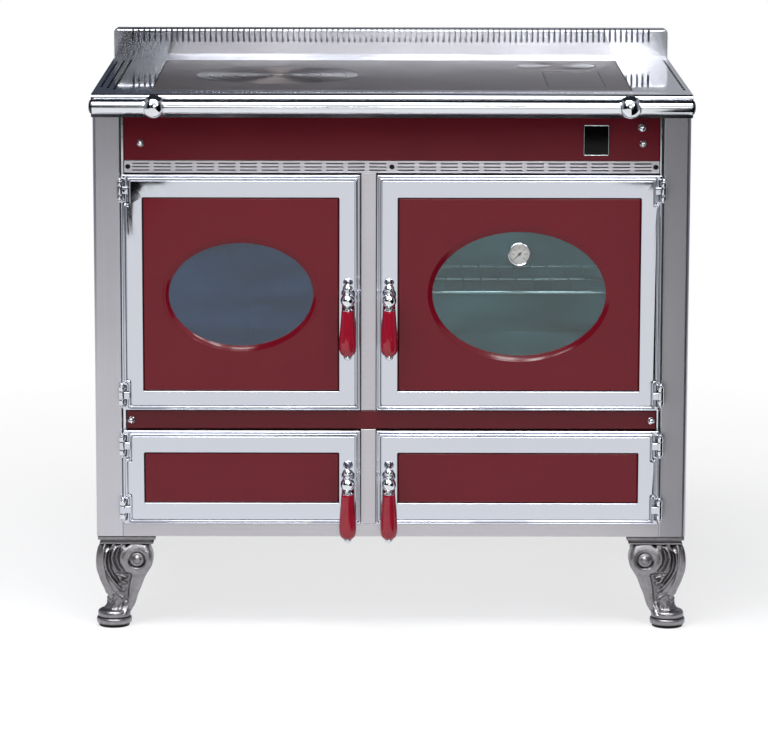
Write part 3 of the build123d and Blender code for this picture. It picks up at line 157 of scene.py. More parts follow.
def arc(centre: Point2, radius: float, start: float, end: float, steps: int = 6) -> list[Point2]:
    """Gives points on an arc.

    Args:
        centre: the arc's centre.
        radius: its radius.
        start: the first angle in degrees.
        end: the last angle in degrees.
        steps: how many chords it has.

    Returns:
        The points from start to end.
    """
    angles = [math.radians(mix(start, end, i / steps)) for i in range(steps + 1)]
    return [(centre[0] + radius * math.cos(a), centre[1] + radius * math.sin(a)) for a in angles]


# ---------------------------------------------------------------- finishes
MIX_SHARE, MIX_FIRST, MIX_SECOND, MIX_RESULT = 0, 6, 7, 2  # a Mix node's sockets when it mixes colours


def add_node(tree: Tree, kind: str, inputs: dict | None = None,
             **settings: object) -> bpy.types.Node:
    """Adds a node with its settings and links.

    Args:
        tree: the node tree.
        kind: the node's type, without the ShaderNode that all of them start with.
        inputs: socket name or number to a value, or to the socket that it is linked from.
        **settings: the node's own properties.

    Returns:
        The new node.
    """
    node = tree.nodes.new(f"ShaderNode{kind}")
    for name, value in settings.items():
        setattr(node, name, value)
    for name, value in (inputs or {}).items():
        if isinstance(value, Socket):
            tree.links.new(value, node.inputs[name])
        else:
            node.inputs[name].default_value = value
    return node


def darker(hex_colour: str, shares: Sequence[float]) -> Colour:
    """Gives a colour with its red, green and blue each taken down to a share."""
    return tuple(part * share for part, share in zip(linear(hex_colour), (*shares, 1)))


@dataclass(frozen=True)
class Grain:
    """A soft pattern whose grains have a real size, and the span of its values that counts."""

    size_mm: Point3
    detail: float = 3.0
    span: Span = (0, 1)

    def add(self, tree: Tree, low: float = 0.0, high: float = 1.0) -> Socket:
        """Adds the pattern on the piece's own coordinates.

        Args:
            tree: the node tree.
            low: the value where the pattern's span starts.
            high: the value where it ends.

        Returns:
            The pattern's value.
        """
        where = add_node(tree, "TexCoord").outputs["Object"]
        scaled = add_node(tree, "Mapping",
                          {"Vector": where, "Scale": [1.0 / (size * MM) for size in self.size_mm]})
        noise = add_node(tree, "TexNoise",
                         {"Vector": scaled.outputs[0], "Scale": 1, "Detail": self.detail})
        start, end = self.span
        return add_node(tree, "MapRange", {"Value": noise.outputs["Fac"], "From Min": start,
                                           "From Max": end, "To Min": low,
                                           "To Max": high}).outputs[0]


@dataclass(frozen=True)
class Surface:
    """A material being made: its node tree, its shader, and the ways a pattern shows on it."""

    tree: Tree
    shader: bpy.types.Node

    def link(self, value: Socket, name: str) -> None:
        """Links a value to one of the shader's inputs."""
        self.tree.links.new(value, self.shader.inputs[name])

    def shade(self, grain: Grain, dark: Colour, light: Colour) -> None:
        """Takes the colour from dark to light with a pattern.

        Args:
            grain: the pattern.
            dark: the colour where its span starts.
            light: the colour where it ends.
        """
        mixed = add_node(self.tree, "Mix", {MIX_SHARE: grain.add(self.tree), MIX_FIRST: dark,
                                            MIX_SECOND: light}, data_type="RGBA")
        self.link(mixed.outputs[MIX_RESULT], "Base Color")

    def haze(self, grain: Grain, low: float, high: float) -> None:
        """Takes the roughness from low to high with a pattern."""
        self.link(grain.add(self.tree, low, high), "Roughness")

    def emboss(self, grain: Grain, deep_mm: float) -> None:
        """Raises a pattern as a bump of a real depth.

        Args:
            grain: the pattern.
            deep_mm: how far it rises.
        """
        bump = add_node(self.tree, "Bump",
                        {"Height": grain.add(self.tree), "Distance": deep_mm * MM, "Strength": 1.0})
        self.link(bump.outputs["Normal"], "Normal")


@dataclass(frozen=True)
class Finish:
    """One real surface: its colour and gloss, and what it shows close up."""

    name: str
    colour: str
    metallic: float = 0.0
    roughness: float = 0.5

    def material(self) -> bpy.types.Material:
        """Makes the material on its first use, and gives the same one after that.

        Returns:
            The material.
        """
        made = bpy.data.materials.get(self.name)
        if made is None:
            made = bpy.data.materials.new(self.name)
            made.use_nodes = True
            shader = made.node_tree.nodes["Principled BSDF"]
            shader.inputs["Base Color"].default_value = linear(self.colour)
            shader.inputs["Metallic"].default_value = self.metallic
            shader.inputs["Roughness"].default_value = self.roughness
            self.work(Surface(made.node_tree, shader))
        return made

    def work(self, on: Surface) -> None:
        """Adds what the surface shows close up."""
        raise NotImplementedError


@dataclass(frozen=True)
class Plated(Finish):
    """Polished bright plating over a casting or a tube: a mirror that waves a little with the metal below."""

    metallic: float = 1.0
    wave_mm: Point3 = (60, 60, 96)
    wave_deep_mm: float = 0.12
    cloud_mm: float = 18.0
    haze: float = 0.07

    def work(self, on: Surface) -> None:
        """Adds the casting's slow waves and the haze that polishing leaves."""
        on.emboss(Grain(self.wave_mm, 1), self.wave_deep_mm)
        on.haze(Grain((self.cloud_mm,) * 3, 4, (0.3, 0.8)), self.roughness, self.roughness + self.haze)


@dataclass(frozen=True)
class Brushed(Finish):
    """Stainless sheet brushed with a fine belt: lines 0.4 mm apart, drawn 1 mm wide so that they show."""

    metallic: float = 1.0
    along: Brush = Brush.UPRIGHT
    spread: float = 0.85
    line_mm: float = 1.0
    run_mm: float = 260.0
    line_shade: float = 0.95
    cloud_mm: float = 160.0

    def work(self, on: Surface) -> None:
        """Adds the brushed lines to the colour, and spreads the mirrored light across them.

        Args:
            on: the material being made.
        """
        lines, way = [self.line_mm] * 3, [1] * 3
        lines[self.along.value], way[self.along.value] = self.run_mm, 0.0
        on.shade(Grain(tuple(lines), 2, (0.3, 0.7)), darker(self.colour, (self.line_shade,) * 3),
                 linear(self.colour))
        on.haze(Grain((self.cloud_mm,) * 3, 2, (0.3, 0.7)), self.roughness - 0.02, self.roughness + 0.03)
        on.shader.inputs["Anisotropic"].default_value = self.spread
        on.link(add_node(on.tree, "CombineXYZ", dict(enumerate(way))).outputs[0], "Tangent")


@dataclass(frozen=True)
class Enamel(Finish):
    """Vitreous enamel fused on steel: a deep colour under a glass skin with a faint orange peel of 6 mm."""

    roughness: float = 0.09
    peel_mm: float = 6.0
    peel_deep_mm: float = 0.006
    index: float = 1.35
    cloud_mm: float = 140.0
    shades: Point3 = (0.86, 0.8, 0.84)

    def work(self, on: Surface) -> None:
        """Adds the peel and slight clouds in the colour.

        Args:
            on: the material being made.
        """
        on.shader.inputs["IOR"].default_value = self.index
        on.shade(Grain((self.cloud_mm,) * 3, 2), darker(self.colour, self.shades), linear(self.colour))
        on.emboss(Grain((self.peel_mm,) * 3, 1), self.peel_deep_mm)


@dataclass(frozen=True)
class GroundIron(Finish):
    """Cast iron ground flat and oiled: a brown-grey satin, with fine turned circles on a round piece."""

    metallic: float = 0.9
    roughness: float = 0.42
    centre: Point2 | None = None
    spread: float = 0.9
    shade: float = 0.72
    oil_mm: Point3 = (70, 50, 70)
    pore_mm: float = 2.5
    pore_deep_mm: float = 0.03

    def work(self, on: Surface) -> None:
        """Adds oil clouds and pores, and spreads the light across the turned circles.

        Args:
            on: the material being made.
        """
        on.shade(Grain(self.oil_mm, 5, (0.25, 0.75)), darker(self.colour, (self.shade,) * 3),
                 linear(self.colour))
        on.emboss(Grain((self.pore_mm,) * 3), self.pore_deep_mm)
        on.haze(Grain(self.oil_mm, 5, (0.2, 0.8)), self.roughness - 0.04, self.roughness + 0.06)
        if self.centre is not None:
            where = add_node(on.tree, "TexCoord").outputs["Object"]
            x, y = self.centre
            axis = Vector((x, y - FRONT_TO_ORIGIN, 0)) * MM
            off = add_node(on.tree, "VectorMath", {0: where, 1: axis}, operation="SUBTRACT")
            on.shader.inputs["Anisotropic"].default_value = self.spread
            on.link(off.outputs[0], "Tangent")


@dataclass(frozen=True)
class AntiqueCasting(Finish):
    """A nickel-plated casting with dark patina left in its hollows and the high places rubbed bright."""

    metallic: float = 1.0
    roughness: float = 0.34
    hollow: str = "161517"
    hollow_mm: float = 9.0
    hollow_roughness: float = 0.55
    worn_shade: float = 0.72
    sand_mm: float = 1.4
    sand_deep_mm: float = 0.04

    def work(self, on: Surface) -> None:
        """Adds the patina in the hollows and the sand grain of the mould.

        Args:
            on: the material being made.
        """
        air = add_node(on.tree, "AmbientOcclusion", {"Distance": self.hollow_mm * MM}, samples=8)
        high = add_node(on.tree, "MapRange", {"Value": air.outputs["AO"], "From Min": 0.45,
                                              "From Max": 0.97}).outputs[0]
        blotch = Grain((9, 9, 9), 4, (0.3, 0.8)).add(on.tree)
        worn = add_node(on.tree, "Mix", {
            MIX_SHARE: blotch, MIX_FIRST: linear(self.colour),
            MIX_SECOND: darker(self.colour, (self.worn_shade,) * 3)}, data_type="RGBA")
        shaded = add_node(on.tree, "Mix", {
            MIX_SHARE: high, MIX_FIRST: linear(self.hollow), MIX_SECOND: worn.outputs[MIX_RESULT]},
            data_type="RGBA")
        on.link(shaded.outputs[MIX_RESULT], "Base Color")
        gloss = add_node(on.tree, "MapRange", {"Value": high, "To Min": self.hollow_roughness,
                                               "To Max": self.roughness})
        on.link(gloss.outputs[0], "Roughness")
        on.emboss(Grain((self.sand_mm,) * 3), self.sand_deep_mm)


@dataclass(frozen=True)
class FireGlass(Finish):
    """Ceramic fire glass: clear and faintly smoked, with a thin bluish diffuse veil in streaks that paints
    the glass's reflection.
    """

    roughness: float = 0.02
    index: float = 1.54
    painted_reflection: str = "5C7CA6"
    painted_reflection_share: Span = (0.09, 0.2)
    streak_mm: Point3 = (150, 40, 34)

    def work(self, on: Surface) -> None:
        """Makes the glass clear and lays the streaked veil, a painted reflection, over it.

        Args:
            on: the material being made.
        """
        on.shader.inputs["IOR"].default_value = self.index
        on.shader.inputs["Transmission Weight"].default_value = 1.0
        # The diffuse sheet below, mixed over the glass in streaks, is a painted reflection.
        share = Grain(self.streak_mm, 3, (0.35, 0.72)).add(on.tree, *self.painted_reflection_share)
        ash = add_node(on.tree, "BsdfDiffuse", {"Color": linear(self.painted_reflection)})
        both = add_node(on.tree, "MixShader", {0: share, 1: on.shader.outputs[0],
                                               2: ash.outputs[0]})
        on.tree.links.new(both.outputs[0], on.tree.nodes["Material Output"].inputs["Surface"])


@dataclass(frozen=True)
class Grained(Finish):
    """A plain surface with a grain of its own size: paint, zinc, brick, rubber, soot or ink."""

    grain_mm: float = 1.5
    deep_mm: float = 0.05
    shade: float = 0.75
    patch_mm: float = 60.0

    def work(self, on: Surface) -> None:
        """Adds the grain as a bump and slow patches in the colour.

        Args:
            on: the material being made.
        """
        on.shade(Grain((self.patch_mm,) * 3, 4, (0.3, 0.7)), darker(self.colour, (self.shade,) * 3),
                 linear(self.colour))
        on.emboss(Grain((self.grain_mm,) * 3, 4), self.deep_mm)


@dataclass(frozen=True)
class Braid(Finish):
    """Braided glass rope: crossing strands 3 mm wide, drawn by two slanted waves."""

    strand_mm: float = 3.0
    lean: float = 45.0
    deep_mm: float = 0.5
    shade: float = 0.35

    def work(self, on: Surface) -> None:
        """Adds the two sets of strands as colour and bump.

        Args:
            on: the material being made.
        """
        where = add_node(on.tree, "TexCoord").outputs["Object"]
        waves = []
        for side in BOTH_SIDES:
            slanted = add_node(on.tree, "Mapping", {
                "Vector": where, "Rotation": (0, math.radians(self.lean * side), 0)})
            wave = add_node(on.tree, "TexWave", {
                "Vector": slanted.outputs[0], "Scale": WAVES_IN_UNIT / (self.strand_mm * MM)})
            waves.append(wave.outputs["Fac"])
        both = add_node(on.tree, "Math", dict(enumerate(waves)), operation="MAXIMUM").outputs[0]
        mixed = add_node(on.tree, "Mix", {
            MIX_SHARE: both, MIX_FIRST: darker(self.colour, (self.shade,) * 3),
            MIX_SECOND: linear(self.colour)}, data_type="RGBA")
        on.link(mixed.outputs[MIX_RESULT], "Base Color")
        bump = add_node(on.tree, "Bump", {"Height": both, "Distance": self.deep_mm * MM,
                                          "Strength": 1.0})
        on.link(bump.outputs["Normal"], "Normal")


# Bright nickel-chromium plating on cast frames: bluish white mirror, waved by the casting.
CHROME_FRAME = Plated("polished_plating_on_casting", "CDD0D9", roughness=0.02, haze=0.03,
                      wave_deep_mm=0.06)
# The same plating on turned parts and tube: truer, so the mirror doesn't wave, with a little more haze.
CHROME_TURNED = Plated("polished_plating_on_turned_parts", "DADDE2", roughness=0.04, wave_deep_mm=0.0)
# Brushed stainless sheet: the columns' light smears sideways, across their upright lines.
STEEL_UPRIGHT = Brushed("brushed_stainless_upright", "C9C8CF", roughness=0.3, along=Brush.UPRIGHT)
# The same sheet with its lines across, on the floor tray.
STEEL_ACROSS = Brushed("brushed_stainless_across", "C6C7CE", roughness=0.2, along=Brush.ACROSS)
# Satin sheet of the plinth, the mullion and the vent strip: an even pale grey with little smear.
STEEL_SATIN = Brushed("satin_stainless_strip", "C4C2C7", roughness=0.3, along=Brush.ACROSS, spread=0.5)
# The worktop's sheet, polished almost to a mirror: it shows the upstand and the studio.
STEEL_WORKTOP = Brushed("polished_stainless_top", "D6D8E0", roughness=0.05, along=Brush.ACROSS, spread=0.0,
                        line_shade=0.97)
# The upstand's sheet, brushed along: light smears up and down on it.
STEEL_UPSTAND = Brushed("brushed_stainless_upstand", "D4D6DE", roughness=0.15, along=Brush.ACROSS, spread=0.9)
# Deep red vitreous enamel on panels and strips.
RED_ENAMEL = Enamel("red_vitreous_enamel", "620C1A")
# Red lacquer on turned grips, thicker and glossier than the enamel.
RED_GRIP = Enamel("red_glazed_grip", "8C1428", roughness=0.06, index=1.5, peel_mm=14.0)
# Ground grey iron, oiled: brown-grey satin.
IRON_PLATE = GroundIron("ground_cast_iron_plate", "7E7879")
# The same iron turned in a lathe: its fine circles fan the light out in wedges.
IRON_RINGS = GroundIron("turned_cast_iron_rings", "7E7879", roughness=0.36, centre=RINGS_AT)
IRON_COVER = GroundIron("turned_cast_iron_cover", "7E7879", roughness=0.36, centre=COVER_AT)
# Nickel-plated castings with patina: grey satin on the high places, nearly black in the hollows.
NICKEL_CASTING = AntiqueCasting("antique_nickel_casting", "9C999D")
# Ceramic glass in front of the fire, with a painted blue-grey reflection, and of the oven, with a painted
# green-grey one.
FIRE_GLASS = FireGlass("ceramic_fire_glass", "B4C0CC")
OVEN_GLASS = FireGlass("ceramic_oven_glass", "C6D6D6", painted_reflection="6FA0A8", painted_reflection_share=(0.05, 0.17))
# Watch glass over the dial, clear and clean.
DIAL_GLASS = FireGlass("clear_dial_glass", "FFFFFF", painted_reflection_share=(0, 0))
# Black nickel on the rail's end caps.
BLACK_CAP = Plated("black_nickel_cap", "3A3B40", roughness=0.12, wave_deep_mm=0.0)
# Heat-proof dark paint on steel behind the doors and under the cast plate: nearly black, not glossy.
DARK_PAINT = Grained("heatproof_dark_paint", "2E2E31", roughness=0.55, deep_mm=0.02)
# Zinc-coated sheet at the back, dulled.
ZINC_SHEET = Grained("dull_zinc_sheet", "8A8D91", metallic=0.8, roughness=0.45, shade=0.8, patch_mm=25.0,
                     deep_mm=0.01)
# Fire chamber steel under soot: almost black and dry.
SOOTED_STEEL = Grained("sooted_chamber_steel", "1B1A1A", roughness=0.9, shade=0.6, deep_mm=0.0)
# Refractory brick, buff, with soot on it and a sandy grain.
FIRE_BRICK = Grained("sooted_fire_brick", "7A6A55", roughness=0.95, shade=0.35, patch_mm=90.0, grain_mm=5.0,
                     deep_mm=0.02)
# Raw castings that meet fire: dark brown-black, coarse.
RAW_IRON = Grained("burnt_cast_iron", "2A2523", metallic=0.4, roughness=0.7, deep_mm=0.15)
# Grey-green oven enamel, smooth and glossy.
OVEN_ENAMEL = Enamel("grey_green_oven_enamel", "5E6E6C", roughness=0.22)
# Plain steel of the ash pan, rolled and a little dull. The same darker grey on the sheet behind the vent
# slots paints the shade inside the slots.
PLAIN_STEEL = Brushed("rolled_plain_steel", "77777A", roughness=0.42, along=Brush.DEEP)
# Black glass tile: opaque, back-painted glass.
BLACK_GLASS = Enamel("black_backed_glass", "050506", roughness=0.04, index=1.25)
# White enamelled dial, and the black ink of its marks and needle.
DIAL_WHITE = Grained("white_dial_enamel", "E9E9E4", roughness=0.3, deep_mm=0.0, shade=0.96)
DIAL_INK = Grained("black_dial_ink", "1C1C1E", roughness=0.5, deep_mm=0.0)
# Dark pads under the feet, where a dark line shows at the base of each foot: matte, with a fine grain.
DARK_FOOT_PAD = Grained("dark_foot_pad", "1D1D1D", roughness=0.8)
# Charcoal-grey braided rope round the door mouths.
ROPE = Braid("braided_glass_rope", "55524E", roughness=0.95)
# Blackened screws sunk in the vent strip.
DARK_SCREW = Grained("blackened_screw", "18181B", metallic=0.7, roughness=0.4, deep_mm=0.0)


# ---------------------------------------------------------------- the workshop
def to_frame(mesh: Mesh) -> None:
    """Moves a mesh from the drawing's millimetres to the shared frame's metres."""
    move = Matrix.Scale(MM, 4) @ Matrix.Translation((0, -FRONT_TO_ORIGIN, 0))
    bmesh.ops.transform(mesh, matrix=move, verts=mesh.verts)


def in_scene(mesh: Mesh, name: str) -> bpy.types.Object:
    """Puts a mesh in the scene as an object, and frees it.

    Args:
        mesh: the mesh, which is freed.
        name: the object's name.

    Returns:
        The object.
    """
    data = bpy.data.meshes.new(name)
    mesh.to_mesh(data)
    mesh.free()
    made = bpy.data.objects.new(name, data)
    bpy.context.scene.collection.objects.link(made)
    return made


def bare_material(thing: bpy.types.Object) -> Tree:
    """Gives an object a material of its own name with no nodes yet.

    Args:
        thing: the object.

    Returns:
        The material's node tree.
    """
    made = bpy.data.materials.new(thing.name)
    made.use_nodes = True
    made.node_tree.nodes.clear()
    thing.data.materials.append(made)
    return made.node_tree


def piece(mesh: Mesh, name: str, finish: Finish, body: Body | str = Body.STOVE, *,
          replaces: str | None = None, sharp: float = 32.0, flats: bool = True,
          wall: float = 0.0) -> bpy.types.Object:
    """Makes a mesh into a piece that rides on a body.

    Args:
        mesh: the shape on the drawing, in millimetres. It is freed.
        name: the piece's name.
        finish: its finish.
        body: the CAD body it rides on.
        replaces: the CAD node it stands for.
        sharp: the angle in degrees from which an edge stays sharp.
        flats: whether flat faces keep their flat shading beside rounded edges.
        wall: the thickness given to a sheet, inwards from its outer face.

    Returns:
        The new object.
    """
    if wall:
        bmesh.ops.solidify(mesh, geom=mesh.faces[:], thickness=wall)
    to_frame(mesh)
    made = in_scene(mesh, name)
    data = made.data
    data.materials.append(finish.material())
    data.polygons.foreach_set("use_smooth", [True] * len(data.polygons))
    data.set_sharp_from_angle(angle=math.radians(sharp))
    if flats:
        shading = made.modifiers.new("flat_faces", "WEIGHTED_NORMAL")
        shading.keep_sharp = True
    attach(made, str(body.value if isinstance(body, Body) else body))
    if replaces:
        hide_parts(replaces)
    log.info("%s: %d faces", name, len(data.polygons))
    return made


def joined(parts: Iterable[Mesh]) -> Mesh:
    """Puts several meshes into one, and frees them.

    Args:
        parts: the meshes, which are freed.

    Returns:
        The one mesh.
    """
    whole = bmesh.new()
    for part in parts:
        data = bpy.data.meshes.new("part")
        part.to_mesh(data)
        part.free()
        whole.from_mesh(data)
        bpy.data.meshes.remove(data)
    return whole


def placed(mesh: Mesh, matrix: Matrix) -> Mesh:
    """Transforms a mesh, and turns its faces outwards again if the transform mirrors it.

    Args:
        mesh: the mesh, which is changed.
        matrix: the transform.

    Returns:
        The same mesh.
    """
    bmesh.ops.transform(mesh, matrix=matrix, verts=mesh.verts)
    if matrix.to_3x3().determinant() < 0:
        bmesh.ops.reverse_faces(mesh, faces=mesh.faces)
    return mesh


def copied(mesh: Mesh, matrix: Matrix) -> Mesh:
    """Gives a transformed copy of a mesh."""
    return placed(mesh.copy(), matrix)


def at(x: float, y: float, z: float) -> Matrix:
    """Gives the move to a place on the drawing."""
    return Matrix.Translation((x, y, z))


def standing(back: float) -> Matrix:
    """Gives the turn that stands a flat shape up facing the front, its underside at a depth."""
    return Matrix(((1, 0, 0, 0), (0, 0, -1, back), (0, 1, 0, 0), (0, 0, 0, 1)))


def turned(profile: Sequence[Point2], steps: int = 48) -> Mesh:
    """Turns a profile of (radius, height) points about the Z axis.

    Args:
        profile: the points in order, open or ending on the axis.
        steps: how many facets go round.

    Returns:
        The turned shape.
    """
    mesh = bmesh.new()
    points = [mesh.verts.new((radius, 0, height)) for radius, height in profile]
    edges = [mesh.edges.new(pair) for pair in zip(points, points[1:])]
    bmesh.ops.spin(mesh, geom=points + edges, cent=(0, 0, 0), axis=(0, 0, 1), angle=2 * math.pi,
                   steps=steps, use_merge=True)
    bmesh.ops.remove_doubles(mesh, verts=mesh.verts, dist=1e-4)
    bmesh.ops.recalc_face_normals(mesh, faces=mesh.faces)
    return mesh


TO_FRONT = Matrix.Rotation(math.radians(90), 4, "X")  # a turned part's axis points to the front
TO_BACK = Matrix.Rotation(math.radians(-90), 4, "X")  # and here to the back
TO_RIGHT = Matrix.Rotation(math.radians(90), 4, "Y")  # and here to the right
MIRROR_X = Matrix.Scale(-1, 4, (1, 0, 0))
MIRROR_Y = Matrix.Scale(-1, 4, (0, 1, 0))


def block(x: Span, y: Span, z: Span, edge: float = 0.6, segments: int = 2) -> Mesh:
    """Makes a block between limits, with rounded edges.

    Args:
        x: its limits across.
        y: its limits in depth.
        z: its limits in height.
        edge: the radius of its edges.
        segments: how many facets each edge has.

    Returns:
        The block.
    """
    mesh = bmesh.new()
    bmesh.ops.create_cube(mesh, size=1.0)
    size = Matrix.Diagonal((x[1] - x[0], y[1] - y[0], z[1] - z[0], 1))
    bmesh.ops.transform(mesh, matrix=at(middle(x), middle(y), middle(z)) @ size, verts=mesh.verts)
    if edge:
        bmesh.ops.bevel(mesh, geom=mesh.edges[:], offset=edge, affect="EDGES", segments=segments,
                        profile=0.5, material=-1)
    return mesh


class Loop:
    """A closed outline in a plane, kept as Bezier points with their handles."""

    def __init__(self) -> None:
        """Starts an outline with no points."""
        self.knots: list[tuple[Vector, Vector, Vector]] = []

    def add(self, knot: Vector, before: Vector, after: Vector) -> None:
        """Adds a point with the handle before it and the handle after it."""
        self.knots.append((knot, before, after))

    @classmethod
    def corners(cls, points: Sequence[Point3]) -> "Loop":
        """Makes an outline from corners, each (x, y, radius), with true rounding.

        Args:
            points: the corners in order.

        Returns:
            The outline.
        """
        made = cls()
        count = len(points)
        for i, (x, y, radius) in enumerate(points):
            here = Vector((x, y, 0))
            into = (Vector((*points[i - 1][:2], 0)) - here).normalized()
            out = (Vector((*points[(i + 1) % count][:2], 0)) - here).normalized()
            if radius <= 0:
                made.add(here, here, here)
                continue
            half = into.angle(out) / 2
            reach = radius / math.tan(half)
            pull = reach - 4 / 3 * math.tan((math.pi - 2 * half) / 4) * radius
            first, last = here + into * reach, here + out * reach
            made.add(first, first, here + into * pull)
            made.add(last, here + out * pull, last)
        return made

    @classmethod
    def rectangle(cls, x: Span, y: Span, radius: float = 0.0) -> "Loop":
        """Makes a rectangle between limits."""
        places = ((x[0], y[0]), (x[1], y[0]), (x[1], y[1]), (x[0], y[1]))
        return cls.corners([(*place, radius) for place in places])

    @classmethod
    def ellipse(cls, centre: Point2, across: float, up: float) -> "Loop":
        """Makes an ellipse from its centre and semi-axes.

        Args:
            centre: its middle.
            across: half its width.
            up: half its height.

        Returns:
            The outline.
        """
        made = cls()
        mid = Vector((*centre, 0))
        for quarter in range(4):
            angle = quarter * math.pi / 2
            spoke = Vector((across * math.cos(angle), up * math.sin(angle), 0))
            run = Vector((-across * math.sin(angle), up * math.cos(angle), 0)) * HANDLE_ROUND
            made.add(mid + spoke, mid + spoke - run, mid + spoke + run)
        return made

    @classmethod
    def slot(cls, centre: Point2, length: float, width: float, upright: bool = False) -> "Loop":
        """Makes a slot with round ends from its centre, whole length and width.

        Args:
            centre: its middle.
            length: its whole length, ends included.
            width: its whole width.
            upright: whether it stands rather than lies.

        Returns:
            The outline.
        """
        half, round_end = (length / 2, width / 2 - 1e-3)
        x, y = (width / 2, half) if upright else (half, width / 2)
        return cls.rectangle((centre[0] - x, centre[0] + x), (centre[1] - y, centre[1] + y), round_end)


def set_knots(spline: bpy.types.Spline, loop: Loop) -> None:
    """Gives a new Bezier spline an outline's points, and closes it.

    Args:
        spline: the new spline.
        loop: the outline.
    """
    spline.bezier_points.add(len(loop.knots) - 1)
    for point, (knot, before, after) in zip(spline.bezier_points, loop.knots):
        point.handle_left_type = "VECTOR" if before == knot else "FREE"
        point.handle_right_type = "VECTOR" if after == knot else "FREE"
        point.co, point.handle_left, point.handle_right = knot, before, after
    spline.use_cyclic_u = True


def curve_mesh(curve: bpy.types.Curve) -> Mesh:
    """Turns a curve to a mesh with its points merged, and removes the curve.

    Args:
        curve: the curve, which is removed.

    Returns:
        The mesh.
    """
    holder = bpy.data.objects.new(curve.name, curve)
    data = bpy.data.meshes.new_from_object(holder)
    mesh = bmesh.new()
    mesh.from_mesh(data)
    bpy.data.objects.remove(holder)
    bpy.data.curves.remove(curve)
    bpy.data.meshes.remove(data)
    bmesh.ops.remove_doubles(mesh, verts=mesh.verts, dist=1e-3)
    bmesh.ops.recalc_face_normals(mesh, faces=mesh.faces)
    return mesh


def flat_shape(loops: Sequence[Loop], thick: float = 0.0, edge: float = 0.0, fine: int = 12,
               edge_steps: int = 2) -> Mesh:
    """Cuts a flat plate from outlines: the outer one and its holes.

    Args:
        loops: the outlines, of which those inside another are holes.
        thick: the plate's thickness, or 0 for a sheet with no wall yet.
        edge: the radius of its front and back edges.
        fine: how many chords stand for each rounding.
        edge_steps: how finely the edges are rounded.

    Returns:
        The plate on Z = 0 to its thickness.
    """
    curve = bpy.data.curves.new("outline", "CURVE")
    curve.dimensions = "2D"
    curve.fill_mode = "BOTH"
    curve.resolution_u = fine
    curve.extrude = thick / 2 - edge
    curve.bevel_depth = edge
    curve.bevel_resolution = edge_steps
    curve.offset = -edge
    for loop in loops:
        set_knots(curve.splines.new("BEZIER"), loop)
    mesh = curve_mesh(curve)
    if thick:
        bmesh.ops.translate(mesh, vec=(0, 0, thick / 2), verts=mesh.verts)
    return mesh


def upright(loops: Sequence[Loop], back: float, thick: float, edge: float = 0.0, fine: int = 12,
            edge_steps: int = 2) -> Mesh:
    """Cuts a flat plate and stands it up facing the front, its underside at a depth."""
    return placed(flat_shape(loops, thick, edge, fine, edge_steps), standing(back))


def tube(loop: Loop, radius: float, fine: int = 8, round_steps: int = 3) -> Mesh:
    """Builds a round bar or rope along a closed outline on Z = 0.

    Args:
        loop: the outline that the bar's middle follows.
        radius: the bar's radius.
        fine: the steps in each stretch of the outline.
        round_steps: the fineness round the bar, as a curve's bevel counts it.

    Returns:
        The bar.
    """
    curve = bpy.data.curves.new("bar", "CURVE")
    curve.dimensions = "3D"
    curve.resolution_u = fine
    curve.bevel_depth = radius
    curve.bevel_resolution = round_steps
    set_knots(curve.splines.new("BEZIER"), loop)
    return curve_mesh(curve)


def faced(mesh: Mesh, outward: Sequence[float]) -> Mesh:
    """Turns an open sheet's faces so that on the whole they look in a direction.

    Args:
        mesh: the sheet, which is changed.
        outward: the direction, as (x, y, z).

    Returns:
        The same mesh.
    """
    bmesh.ops.recalc_face_normals(mesh, faces=mesh.faces)
    way = Vector(outward)
    if sum(face.calc_area() * face.normal.dot(way) for face in mesh.faces) < 0:
        bmesh.ops.reverse_faces(mesh, faces=mesh.faces)
    return mesh


@dataclass(frozen=True)
class Bend:
    """A bend in a folded sheet: where it starts along the flat pattern, its radius and its angle."""

    start: float
    radius: float
    angle: float

    @property
    def length(self) -> float:
        """How much of the pattern it takes up, measured on the sheet's outer face."""
        return self.radius * math.radians(abs(self.angle))


def folded(mesh: Mesh, bends: Sequence[Bend], begin: Point2, heading: float,
           steps: int = 6) -> Mesh:
    """Folds a flat pattern, whose Y runs along the fold path, into a sheet whose X stays.

    Args:
        mesh: the flat pattern.
        bends: its bends in order along the pattern's Y.
        begin: the fold path's first point in the Y-Z plane, at the pattern's Y = 0.
        heading: the path's first direction in degrees from +Y towards +Z.
        steps: how many facets each bend has.

    Returns:
        The folded sheet.
    """
    for bend in bends:
        for i in range(steps + 1):
            cut = bend.start + bend.length * i / steps
            bmesh.ops.bisect_plane(mesh, geom=mesh.verts[:] + mesh.edges[:] + mesh.faces[:], dist=1e-4,
                                   plane_co=(0, cut, 0), plane_no=(0, 1, 0))
    for vert in mesh.verts:
        run = vert.co.y
        here, angle, gone = Vector(begin), math.radians(heading), 0.0
        for bend in bends:
            if run <= bend.start:
                break
            here += Vector((math.cos(angle), math.sin(angle))) * (bend.start - gone)
            share = min(1, (run - bend.start) / bend.length)
            swing = math.radians(bend.angle) * share
            side = math.copysign(1, bend.angle)
            normal = Vector((-math.sin(angle), math.cos(angle))) * side * bend.radius
            angle += swing
            here += normal - Vector((-math.sin(angle), math.cos(angle))) * side * bend.radius
            gone = bend.start + bend.length * share
        here += Vector((math.cos(angle), math.sin(angle))) * max(0, run - gone)
        vert.co = Vector((vert.co.x, here.x, here.y))
    return mesh


def dressed(node: str, finish: Finish) -> None:
    """Gives a CAD node a finish in place of its plain one.

    Args:
        node: the CAD node's name.
        finish: the finish that it gets.
    """
    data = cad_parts[node].data
    data.materials.clear()
    data.materials.append(finish.material())
    log.info("%s keeps its CAD shape, in %s", node, finish.name)


